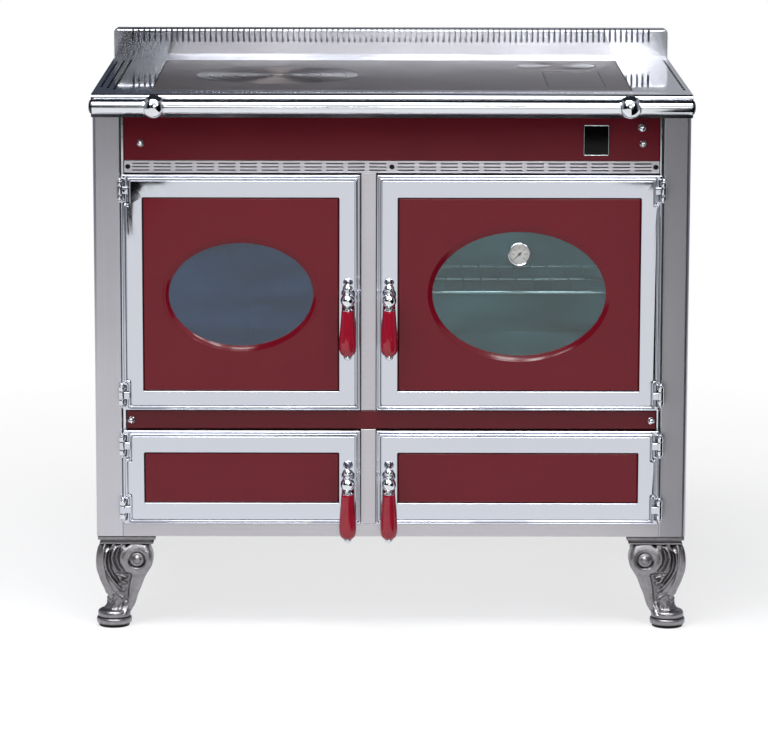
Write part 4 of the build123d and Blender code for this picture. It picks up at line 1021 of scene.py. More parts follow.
# ---------------------------------------------------------------- hinges
@dataclass(frozen=True)
class Hinge:
    """A three-part hinge: its knuckles and its pin with two finials, stacked along Z from their middle."""

    x: float = 453.5
    y: float = 9.0
    radius: float = 5.5
    middle_length: float = 14.0
    outer_length: float = 9.0
    gap: float = 0.5
    finial_radius: float = 3.6
    finial_length: float = 5.0
    edge: float = 1.1
    web_half: float = 2.2
    web_back: float = 24.6
    steps: int = 32

    def knuckle(self, height: float, length: float) -> Mesh:
        """Builds one knuckle about the pin's axis: a barrel with rounded ends.

        Args:
            height: where its middle lies, from the hinge's middle.
            length: its length along the pin.

        Returns:
            The knuckle.
        """
        half, big, edge = length / 2, self.radius, self.edge
        upper = [(big, half - edge), (big - 0.3, half - 0.35), (big - edge, half), (0, half)]
        profile = [(radius, -z) for radius, z in reversed(upper)] + upper
        return placed(turned(profile, self.steps), at(0, 0, height))

    def finial(self, up: int) -> Mesh:
        """Builds the pin's end: a turned collar and a small dome, above or below.

        Args:
            up: 1 for the pin's upper end, -1 for its lower.

        Returns:
            The end.
        """
        big, tall = self.finial_radius, self.finial_length
        profile = [(0, 0), (big - 0.6, 0), (big, 0.5), (big, 1.1), (big - 0.9, 1.7), (big - 1.1, 2.3),
                   (big - 0.6, 3), (big - 1, 4), (big - 2.2, tall - 0.2), (0, tall)]
        stack = self.middle_length / 2 + self.outer_length
        mesh = placed(turned(profile, self.steps), at(0, 0, stack))
        return mesh if up > 0 else placed(mesh, Matrix.Scale(-1, 4, (0, 0, 1)))

    def bracket(self, side: int) -> Mesh:
        """Builds the stove's part: the outer knuckles and their webs back to the front plate.

        Args:
            side: 1 for the stove's right side, -1 for its left.

        Returns:
            The knuckles and webs.
        """
        far = (self.middle_length + self.outer_length) / 2
        parts = []
        for up in BOTH_SIDES:
            parts.append(self.knuckle(up * far, self.outer_length - self.gap))
            height = grown((up * far, up * far), self.outer_length / 2 - 0.5)
            parts.append(block((-self.web_half, self.web_half), (0, self.web_back), height, 0.5))
        mesh = joined(parts)
        return mesh if side > 0 else placed(mesh, MIRROR_X)


HINGE = Hinge()


# ---------------------------------------------------------------- doors
@dataclass(frozen=True)
class Window:
    """A door's oval window: its middle, the semi-axes of its opening and of the lip round it."""

    centre: Point2
    opening: Point2
    lip: Point2


@dataclass(frozen=True)
class Door:
    """One door: its limits on the front, its hinge side, the frame's width below and above, and its latch."""

    name: str
    x: Span
    z: Span
    side: int
    borders: Span
    latch: Point2
    glass: Finish | None = None
    window: Window | None = None
    border_side: float = 37.0
    hinge_inset: float = 25.5
    face: float = 7.0
    back: float = 25.0
    rim: float = 3.4
    shoulder: float = 3.6
    groove: float = 1.1
    panel_face: float = 8.5
    panel_wall: float = 2.5
    gap: float = 1.2
    notch_half: float = 18.0
    notch_deep: float = 6.4
    arm_long: float = 14.0
    seal_radius: float = 3.9
    seal_middle: float = 30.8
    seal_squash: float = 0.7
    # the lip's section: how far in towards the glass, as a share of its width, and how deep
    lip_section: tuple[Point2, ...] = (
        (-0.45, -0.04), (-0.12, -0.04), (0, 0), (0.05, 0.06), (0.12, 0.22), (0.3, 0.7), (0.55, 1.35),
        (0.8, 1.9), (0.92, 2.15), (0.98, 2.3), (1, 2.6))
    lip_steps: int = 160

    @property
    def body(self) -> str:
        """The CAD body that the door is."""
        return f"{self.name}_door"

    @property
    def panel_x(self) -> Span:
        """The panel's limits across."""
        return grown(self.x, -self.border_side)

    @property
    def panel_z(self) -> Span:
        """The panel's limits in height."""
        return (self.z[0] + self.borders[0], self.z[1] - self.borders[1])

    @property
    def hinges(self) -> Span:
        """The heights of its two hinges."""
        return grown(self.z, -self.hinge_inset)

    def outline(self, inset: float, corner: float) -> Loop:
        """Gives the door's outline, inset all round, which steps in round its hinges.

        Args:
            inset: how far inside the door's edge it runs.
            corner: the radius of the door's corners there.

        Returns:
            The closed outline.
        """
        (left, right), (low, high) = grown(self.x, -inset), grown(self.z, -inset)
        edge, far = (right, left) if self.side > 0 else (left, right)
        deep = edge - self.side * self.notch_deep
        half = self.notch_half + inset
        inside, outside = min(3.0 + inset * 0.5, 4.2), 2.0
        steps = []
        for height in self.hinges:
            steps += [(edge, height - half, outside), (deep, height - half, inside),
                      (deep, height + half, inside), (edge, height + half, outside)]
        if self.hinge_inset - inset - half < outside + corner:
            steps = [(deep, low, corner), *steps[2:6], (deep, high, corner)]
            near = steps
        else:
            near = [(edge, low, corner), *steps, (edge, high, corner)]
        return Loop.corners(near + [(far, high, corner), (far, low, corner)])

    def frame_mesh(self) -> Mesh:
        """Builds the cast frame: rim, rounded shoulder, flat, and the knuckles with their arms.

        Returns:
            The frame.
        """
        hole = Loop.rectangle(grown(self.panel_x, self.gap), grown(self.panel_z, self.gap), 2)
        band, flat = self.rim + self.groove, self.rim + 2 * self.groove + self.shoulder
        shoulder = [self.outline(band, 2.6), self.outline(band + self.shoulder, 2.4)]
        parts = [upright([self.outline(1, 3), hole], self.back, 9, 0.4, 6, 1),
                 upright([self.outline(0, 3), self.outline(self.rim, 2.6)], self.back, 13, 1.5, 6, 3),
                 upright(shoulder, self.face + 8.8, 8, 1.9, 6, 4),
                 upright([self.outline(flat, 2.2), hole], self.face + 12, 12, 1, 6, 3)]
        for height in self.hinges:
            parts.append(placed(HINGE.knuckle(height, HINGE.middle_length - 0.2),
                                at(self.side * HINGE.x, HINGE.y, 0)))
            arm_x = between(self.side * HINGE.x, self.side * (HINGE.x - self.arm_long))
            parts.append(block(arm_x, (HINGE.y - 3.4, HINGE.y + 4.5),
                               grown((height, height), HINGE.middle_length / 2 - 0.9), 1.4, 3))
        return joined(parts)

    def panel_mesh(self) -> Mesh:
        """Builds the enamelled panel, with the raised lip round its window if it has one.

        Returns:
            The panel.
        """
        outer = Loop.rectangle(self.panel_x, self.panel_z, 2.2)
        if self.window is None:
            return upright([outer], self.back, self.back - self.panel_face, 2, 6, 4)
        lip = self.window
        hole = Loop.ellipse(lip.centre, *(edge + 2.0 for edge in lip.lip))
        parts = [upright([outer, hole], self.panel_face + 4, 4, 2, 20, 4), self.lip_mesh()]
        behind = (self.panel_face + 2, self.back)
        for x in self.panel_x:
            inner = x - math.copysign(self.panel_wall, x - middle(self.panel_x))
            parts.append(block(between(x, inner), behind, self.panel_z, 0.3))
        for z in self.panel_z:
            inner = z - math.copysign(self.panel_wall, z - middle(self.panel_z))
            parts.append(block(self.panel_x, behind, between(z, inner), 0.3))
        return joined(parts)

    def lip_mesh(self) -> Mesh:
        """Builds the lip round the window, which turns in from the panel to the glass like a funnel.

        Returns:
            The lip.
        """
        lip = self.window
        rings = [(mix(lip.lip[0], lip.opening[0], share), mix(lip.lip[1], lip.opening[1], share),
                  self.panel_face + deep) for share, deep in self.lip_section]
        return faced(ring_sheet(lip.centre, rings, self.lip_steps), (0, -1, 0))

    def seal_mesh(self) -> Mesh:
        """Builds the rope that closes on the mouth's rim, a little flattened.

        Returns:
            The rope.
        """
        run = Loop.rectangle(grown(self.panel_x, -4), grown(self.panel_z, -4), 12)
        rope = placed(tube(run, self.seal_radius, 10, 4), Matrix.Diagonal((1, 1, self.seal_squash, 1)))
        return placed(rope, standing(self.seal_middle))

    def build(self) -> None:
        """Makes the door's pieces and dresses its CAD nodes."""
        piece(self.frame_mesh(), f"{self.name}_frame_cast", CHROME_FRAME, self.body,
              replaces=f"{self.name}_door_frame")
        piece(self.panel_mesh(), f"{self.name}_panel_enamelled", RED_ENAMEL, self.body,
              replaces=f"{self.name}_door_panel", sharp=50.0)
        if self.window is not None:
            dressed(f"{self.name}_door_liner", DARK_PAINT)
            dressed(f"{self.name}_door_glass", self.glass)
            piece(self.seal_mesh(), f"{self.name}_rope", ROPE, self.body,
                  replaces=f"{self.name}_door_seal", flats=False)
        Handle(self.name, self.latch, self.side).build()


def ring_sheet(centre: Point2, rings: Sequence[Point3], steps: int) -> Mesh:
    """Builds an open sheet through ellipses that face the front.

    Args:
        centre: their middle across and up.
        rings: each one's semi-axes across and up, and its depth.
        steps: how many facets go round.

    Returns:
        The sheet.
    """
    mesh = bmesh.new()
    across, up, depth = rings[0]
    start = at(centre[0], depth, centre[1]) @ TO_FRONT @ Matrix.Diagonal((across, up, 1, 1))
    bmesh.ops.create_circle(mesh, segments=steps, radius=1.0, cap_ends=False, matrix=start)
    edges = mesh.edges[:]
    for (across, up, depth), (next_across, next_up, next_depth) in zip(rings, rings[1:]):
        made = bmesh.ops.extrude_edge_only(mesh, edges=edges)["geom"]
        edges = [part for part in made if isinstance(part, bmesh.types.BMEdge) and part.is_boundary]
        grow = Matrix.Diagonal((next_across / across, 1, next_up / up, 1))
        move = at(centre[0], next_depth, centre[1]) @ grow @ at(-centre[0], -depth, -centre[1])
        bmesh.ops.transform(mesh, matrix=move, verts=[p for p in made if isinstance(p, bmesh.types.BMVert)])
    return mesh


# ---------------------------------------------------------------- handles
@dataclass(frozen=True)
class Handle:
    """A door's handle: a ball on a spindle, with a cap over it and a turned grip under it."""

    door: str
    latch: Point2
    side: int
    y: float = -26.0
    ball: float = 12.0
    rosette_back: float = 6.7
    finger: tuple[Span, Span] = ((28.6, 32.6), (-5.5, 5.5))
    finger_short: float = 1.3
    grip_top: float = -17.0
    grip_length: float = 76.0
    grip_levels: int = 44
    steps: int = 64

    def ball_profile(self) -> list[Point2]:
        """Gives the ball from its cap's neck down to the grip's collar."""
        top = math.degrees(math.acos(5.2 / self.ball))
        return arc((0, 0), self.ball, top, -top, 24)

    def cap_profile(self) -> list[Point2]:
        """Gives the cap over the ball: a small dome on a banded collar.

        Returns:
            The profile, each point (radius, height).
        """
        dome = arc((0, 19.6), 8.4, 90, 12, 9)
        return [*dome, (8.5, 20.4), (8.5, 19.4), (7.4, 18.9), (7.2, 18.2), (7.9, 17.5), (7.9, 16.6),
                (7, 15.9), (5.6, 14.2), (5.2, 12.4)]

    def collar_profile(self) -> list[Point2]:
        """Gives the neck under the ball and the flared collar on the grip's top."""
        return [(5.2, -12.4), (5.3, -13.3), (6.4, -14.3), (9, -15.2), (10.1, -15.7), (10.3, -16.2),
                (10.2, -16.8), (9.6, -17), (0, -17)]

    def grip_profile(self) -> list[Point2]:
        """Gives the grip, which swells to two thirds of its length and rounds in to its end.

        Returns:
            The profile, each point (radius, height).
        """
        table = ((0, 10), (1.2, 10.5), (10, 11.2), (25, 12.4), (40, 13.6), (52, 14.25), (60, 14.3),
                 (66, 13.9), (70, 13), (73, 11.5), (75, 9.6), (75.8, 8.5), (76, 8))
        top, length, count = self.grip_top, self.grip_length, self.grip_levels
        downs = [length * i / count for i in range(count + 1)]
        return [(0, top), *((from_table(table, down), top - down) for down in downs), (0, top - length)]

    def button_profile(self) -> list[Point2]:
        """Gives the end button: a crown of two steps and a small dome.

        Returns:
            The profile, each point (radius, height).
        """
        return [(0, -92.8), (7.2, -92.9), (7.5, -93.4), (7.5, -94.6), (6.9, -95.2), (6.3, -95.6),
                (6.5, -96.4), (6.2, -97.8), (5.2, -99.2), (4, -99.9), (3.2, -100.2), (2.4, -101.1),
                (0, -101.5)]

    def build(self) -> None:
        """Makes the bright parts and the grip."""
        x, z = self.latch
        place = at(x, self.y, z)
        bright = turned(self.cap_profile() + self.ball_profile() + self.collar_profile(), self.steps)
        button = turned(self.button_profile(), self.steps)
        spindle = turned([(0, 8), (5, 8), (5, 58.6), (0, 58.6)], 40)
        back = self.rosette_back - self.y
        rosette = turned([(5, back - 4.6), (6.4, back - 4.2), (7.6, back - 2.9), (8.7, back - 2.2),
                          (9, back - 1.4), (9, back), (0, back)], 48)
        depth, half = self.finger
        striker = grown(Casing.mullion, self.finger_short)
        reach = striker[0 if self.side < 0 else 1] - x
        finger = block(between(math.copysign(4, reach), reach), depth, half, 0.8)
        parts = [placed(bright, place), placed(button, place), placed(spindle, place @ TO_BACK),
                 placed(rosette, place @ TO_BACK), placed(finger, at(x, 0, z))]
        body = f"{self.door}_handle"
        piece(joined(parts), f"{self.door}_handle_bright", CHROME_TURNED, body,
              replaces=f"{self.door}_handle_spindle", sharp=40.0, flats=False)
        piece(placed(turned(self.grip_profile(), self.steps), place), f"{self.door}_handle_red", RED_GRIP,
              body, replaces=f"{self.door}_handle_grip", sharp=50.0, flats=False)


# ---------------------------------------------------------------- oven thermometer
@dataclass(frozen=True)
class Thermometer:
    """The oven's dial: bezel, white face with marks and plain numbers, needle and watch glass."""

    centre: Point2 = (213.55, 647.2)
    radius: float = 19.5
    front: float = 5.0
    dial: float = 9.0
    back: float = 11.0
    needle_y: float = 8.4
    needle_turn: float = 225.0
    scale_start: float = 225.0
    scale_sweep: float = 270.0
    marks: int = 36
    mark_radius: float = 14.9
    numbers: tuple[str, ...] = ("0", "50", "100", "150", "200", "250", "300")
    number_radius: float = 10.2
    number_size: float = 3.1
    ink_rise: float = 0.04
    steps: int = 96

    def facing(self, depth: float) -> Matrix:
        """Gives the place of a flat thing on the dial at a depth, turned to the front."""
        return at(self.centre[0], depth, self.centre[1]) @ TO_FRONT

    def scale_angle(self, share: float) -> float:
        """Gives the angle, in radians, of a place a share of the way round the scale."""
        return math.radians(self.scale_start - self.scale_sweep * share)

    def mark_meshes(self) -> list[Mesh]:
        """Builds the scale's marks, longer at each number, and the numbers themselves.

        Returns:
            A mesh for each mark and number.
        """
        parts = []
        for i in range(self.marks + 1):
            length, half = (2.6, 0.2) if i % 6 == 0 else (1.4, 0.11)
            tick = flat_shape([Loop.rectangle((self.mark_radius - length, self.mark_radius), (-half, half))])
            turn = Matrix.Rotation(self.scale_angle(i / self.marks), 4, "Z")
            parts.append(placed(tick, turn @ at(0, 0, self.ink_rise)))
        for i, text in enumerate(self.numbers):
            angle = self.scale_angle(i / (len(self.numbers) - 1))
            words = bpy.data.curves.new("number", "FONT")
            words.body = text
            words.size = self.number_size
            words.align_x = words.align_y = "CENTER"
            words.resolution_u = 3
            place = at(self.number_radius * math.cos(angle), self.number_radius * math.sin(angle),
                       self.ink_rise)
            parts.append(placed(curve_mesh(words), place))
        return parts

    def build(self) -> None:
        """Makes the bezel, the face, the printing, the needle and the glass."""
        outer, front, back = self.radius, self.front, self.back
        rim = [(outer - 1, back), (outer, back - 1), (outer, front + 1.4), (outer - 0.3, front + 0.6),
               (outer - 1, front + 0.1), (outer - 1.6, front), (outer - 2.4, front + 0.5),
               (outer - 3, front + 1.6), (outer - 3.1, self.dial)]
        bezel = turned([(0, back), *rim, (outer - 3.1, self.dial + 0.2), (0, self.dial + 0.2)], self.steps)
        stem = turned([(0, back), (4, back), (4, 24), (0, 24)], 32)
        nut = turned([(0, 18.2), (8, 18.2), (8, 21.2), (0, 21.2)], 6)
        turn = at(self.centre[0], 0, self.centre[1]) @ TO_BACK
        piece(joined([placed(mesh, turn) for mesh in (bezel, stem, nut)]), "thermometer_case", CHROME_TURNED,
              Body.OVEN_DOOR, replaces="oven_thermometer", sharp=40.0)
        face = turned([(0, 0), (16, 0), (16.3, -0.15), (16.3, -0.3)], self.steps)
        piece(placed(face, self.facing(self.dial)), "thermometer_face", DIAL_WHITE, Body.OVEN_DOOR,
              flats=False)
        ink = joined(self.mark_meshes())
        piece(placed(ink, self.facing(self.dial)), "thermometer_numbers", DIAL_INK, Body.OVEN_DOOR,
              flats=False)
        glass = turned([(0, 0.55), (8, 0.45), (13.5, 0.2), (16.2, -0.1), (16.2, -0.7), (0, -0.7)], self.steps)
        piece(placed(glass, self.facing(front + 1)), "thermometer_glass", DIAL_GLASS, Body.OVEN_DOOR,
              flats=False)
        pointer = Loop.corners([(-5, -0.8, 0.4), (-5, 0.8, 0.4), (0, 1.1, 0), (13, 0.25, 0.1),
                                (13, -0.25, 0.1), (0, -1.1, 0)])
        hub = turned([(0, 0), (2.4, 0), (2.3, 0.5), (1.5, 0.75), (0, 0.8)], 32)
        turn = Matrix.Rotation(math.radians(self.needle_turn), 4, "Z")
        needle = joined([placed(flat_shape([pointer], 0.45, 0.1), turn), hub])
        piece(placed(needle, self.facing(self.needle_y)), "thermometer_pointer_black", DIAL_INK, Body.POINTER,
              replaces="thermometer_needle")


# ---------------------------------------------------------------- casing
@dataclass(frozen=True)
class Casing:
    """The body: folded sides, plinth, mullion, enamelled strips, vent strip, tile, screws and back."""

    half: float = 499.5
    front: float = 25.0
    rear: float = 640.0
    bottom: float = 160.5
    top: float = 877.0
    floor_top: float = 183.8
    inner: float = 454.0
    wall: float = 2.0
    strip_half: float = 447.0
    plate: float = 34.0
    mullion: Span = (-50.9, -26.5)
    band: Span = (346.2, 377.5)
    grille: Span = (781.6, 801.5)
    fascia: Span = (802, 875)
    tile_x: Span = (320, 362)
    tile_z: Span = (811.5, 862.5)
    slot_size: Point2 = (28.6, 2.6)
    slot_start: float = 9.3
    slot_pitch: float = 36.0
    slot_row: float = 5.6
    slot_groups: int = 12
    screws: tuple[float, ...] = (-441, 0, 441)
    acorns: tuple[Point2, ...] = ((-419.5, 831), (419.5, 831), (-439, 361), (439, 361))
    ribs: tuple[float, ...] = (300, 420, 540, 660)
    flue: Point2 = (293, 790.5)
    flue_bore: float = 67.0

    def side_mesh(self, side: int) -> Mesh:
        """Builds a side: folded in at the column's inner edge, round the front corner, and in at the back.

        Args:
            side: 1 for the stove's right side, -1 for its left.

        Returns:
            The sheet.
        """
        small, big = 2.0, 7.0
        first = Bend(self.plate - self.front - small, small, 90)
        second = Bend(first.start + first.length + self.half - self.inner - small - big, big, 90)
        third = Bend(second.start + second.length + self.rear - self.front - small - big, small, 90)
        run = third.start + third.length + 20.0
        pattern = flat_shape([Loop.rectangle((self.bottom, self.top), (0, run))])
        sheet = folded(pattern, (first, second, third), (self.inner, self.plate), -90)
        stood = Matrix(((0, 1, 0, 0), (0, 0, 1, 0), (1, 0, 0, 0), (0, 0, 0, 1)))
        sheet = faced(placed(sheet, stood), (1, -0.2, 0))
        return sheet if side > 0 else placed(sheet, MIRROR_X)

    def grille_mesh(self) -> Mesh:
        """Builds the vent strip: three rows of slots in groups of 36 mm, and wells for three screws.

        Returns:
            The strip.
        """
        middle_z = middle(self.grille)
        loops = [Loop.rectangle((-self.strip_half, self.strip_half), self.grille, 1)]
        for side in BOTH_SIDES:
            for group in range(self.slot_groups):
                across = side * (self.slot_start + self.slot_size[0] / 2 + self.slot_pitch * group)
                loops += [Loop.slot((across, middle_z + self.slot_row * row), *self.slot_size)
                          for row in (-1, 0, 1)]
        loops += [Loop.ellipse((x, middle_z), 4.3, 4.3) for x in self.screws]
        face = upright(loops, self.front + self.wall, self.wall, 0.5, 4, 1)
        returns = [block((-self.strip_half, self.strip_half), (self.front + 1, self.plate), edge, 0.3)
                   for edge in ((self.grille[0], self.grille[0] + 1.2),
                                (self.grille[1] - 1.2, self.grille[1]))]
        return joined([face, *returns])

    def strip_mesh(self, z: Span, holes: Sequence[Loop] = ()) -> Mesh:
        """Builds an enamelled strip across the front, its long edges well rounded by the enamel."""
        outline = Loop.rectangle((-self.strip_half, self.strip_half), z, 1.5)
        return upright([outline, *holes], self.plate, self.plate - self.front, 1.7, 6, 4)

    def acorn_mesh(self, x: float, z: float) -> Mesh:
        """Builds an acorn nut on its washer, facing the front.

        Args:
            x: where it sits from side to side.
            z: its height.

        Returns:
            The nut and its washer.
        """
        washer = turned([(0, 0), (5.6, 0), (5.8, 0.2), (5.7, 0.6), (5.2, 0.9), (0, 0.9)], 48)
        hexagon = turned([(0, 0.7), (5.1, 0.7), (5.3, 1), (5.3, 3.4), (4.9, 4), (0, 4.2)], 6)
        dome = turned([(5, 3.4), *arc((0, 3.8), 4.9, 4, 84, 10), (0, 8.72)], 48)
        return placed(joined([washer, hexagon, dome]), at(x, self.front, z) @ TO_FRONT)

    def screw_mesh(self, x: float, z: float) -> Mesh:
        """Builds a screw head sunk in the vent strip."""
        head = turned([(0, 0), (4, 0), (4.1, 0.5), (3.4, 1.2), (0, 1.6)], 32)
        return placed(head, at(x, self.front + 4, z) @ TO_FRONT)

    def back_mesh(self) -> Mesh:
        """Builds the rear sheet with its pressed ribs and its row of sheet screws.

        Returns:
            The sheet and its screws.
        """
        half = self.half - 22.0
        hole = Loop.ellipse(self.flue, self.flue_bore, self.flue_bore)
        sheet = Loop.rectangle((-half, half), (self.floor_top, self.top), 3)
        parts = [upright([sheet, hole], self.rear, self.wall, 0.4, 10, 1)]
        rib_back = self.rear + 2.5
        parts += [upright([Loop.slot((0, z), 2 * half - 120, 22)], rib_back, 4.4, 2.1, 10, 4)
                  for z in self.ribs]
        for x in (-half + 11, -half / 2, 0, half / 2 - 80, half - 11):
            for z in (self.floor_top + 14, self.top - 14):
                head = turned([(0, 0), (5.4, 0), (5.4, 0.5), (4.2, 1.7), (2, 2.3), (0, 2.4)], 24)
                parts.append(placed(head, at(x, self.rear, z) @ TO_BACK))
        return joined(parts)

    def build(self) -> None:
        """Makes the casing's pieces and dresses the CAD nodes that keep their shape."""
        for side, name in ((-1, "left"), (1, "right")):
            piece(self.side_mesh(side), f"side_{name}_sheet", STEEL_UPRIGHT,
                  replaces=f"side_panel_{name}", wall=self.wall)
            edge = side * (self.inner - 1.5)
            strip = block(between(edge, edge - side * 5), (self.front + 0.2, self.plate),
                          (self.floor_top, self.top), 1.2, 3)
            piece(strip, f"trim_strip_{name}", CHROME_TURNED)
        for node, finish in (("front_plate", DARK_PAINT), ("base_tray", STEEL_ACROSS),
                             ("mullion", STEEL_SATIN)):
            dressed(node, finish)
        plinth = block((-self.inner, self.inner), (self.front - 0.1, self.front + self.wall),
                       (self.bottom, self.bottom + 21.3), 0.7, 3)
        piece(plinth, "plinth_face", STEEL_SATIN)
        for height, name in (((184.5, 345.6), "lower"), ((378.3, 781), "upper")):
            cover = block(self.mullion, (self.front - 0.1, self.front + 1.8), height, 0.9, 3)
            piece(cover, f"mullion_face_{name}", STEEL_SATIN)
        bore = Loop.ellipse(Damper.place, Damper.bore, Damper.bore)
        piece(self.strip_mesh(self.fascia, [bore]), "fascia_strip_enamelled", RED_ENAMEL,
              replaces="upper_fascia", sharp=50.0)
        piece(self.strip_mesh(self.band), "middle_strip_enamelled", RED_ENAMEL,
              replaces="middle_fascia", sharp=50.0)
        piece(self.grille_mesh(), "vent_strip", STEEL_SATIN, replaces="vent_grille")
        # A sheet just behind the vent slots, in a darker steel than the strip: it paints the shade inside the
        # slots.
        slot_shade_sheet = block(grown((-self.strip_half, self.strip_half), -1), (self.front + 4.6, self.front + 5.6),
                      self.grille, 0.2)
        piece(slot_shade_sheet, "vent_strip_back_painted_shade", PLAIN_STEEL)
        screws = joined(self.screw_mesh(x, middle(self.grille)) for x in self.screws)
        piece(screws, "vent_strip_screws", DARK_SCREW)
        piece(joined(self.acorn_mesh(*place) for place in self.acorns), "acorn_nuts", CHROME_TURNED,
              sharp=25.0)
        self.build_tile()
        piece(self.back_mesh(), "rear_sheet_ribbed", ZINC_SHEET, replaces="back_panel",
              sharp=40.0)
        piece(self.collar_mesh(), "flue_collar_rolled", RAW_IRON, replaces="flue_collar",
              sharp=40.0, flats=False)
        brackets = [placed(HINGE.bracket(door.side), at(door.side * HINGE.x, HINGE.y, height))
                    for door in DOORS for height in door.hinges]
        piece(joined(brackets), "hinge_knuckles", CHROME_TURNED, replaces="hinge_brackets",
              sharp=40.0)
        pins = [placed(HINGE.finial(up), at(door.side * HINGE.x, HINGE.y, height))
                for door in DOORS for height in door.hinges for up in BOTH_SIDES]
        piece(joined(pins), "hinge_finials", CHROME_TURNED, replaces="hinge_pins", flats=False)

    def build_tile(self) -> None:
        """Makes the dark tile and its thin bright rim."""
        hole = Loop.rectangle(grown(self.tile_x, -1.2), grown(self.tile_z, -1.2), 1)
        rim = upright([Loop.rectangle(self.tile_x, self.tile_z, 2), hole], self.front, 2.4, 0.5, 6, 3)
        piece(rim, "tile_rim", CHROME_TURNED, replaces="tile_frame")
        glass = block(grown(self.tile_x, -1.2), (self.front - 1.8, self.front), grown(self.tile_z, -1.2), 0.4,
                      3)
        piece(glass, "tile_glass", BLACK_GLASS, replaces="tile")

    def collar_mesh(self) -> Mesh:
        """Builds the flue collar: a flange, a spigot with a rolled bead, and its bore.

        Returns:
            The collar.
        """
        bore = self.flue_bore
        profile = [(bore, 0), (84, 0), (84, 2.2), (83.2, 3), (72, 3), (70.6, 3.8), (70, 5.2),
                   (70, 47.5), (69.4, 49.2), (68.5, 50), (67.6, 49.4), (bore, 48)]
        mesh = turned([*profile, profile[0]], 96)
        return placed(mesh, at(self.flue[0], self.rear, self.flue[1]) @ TO_BACK)


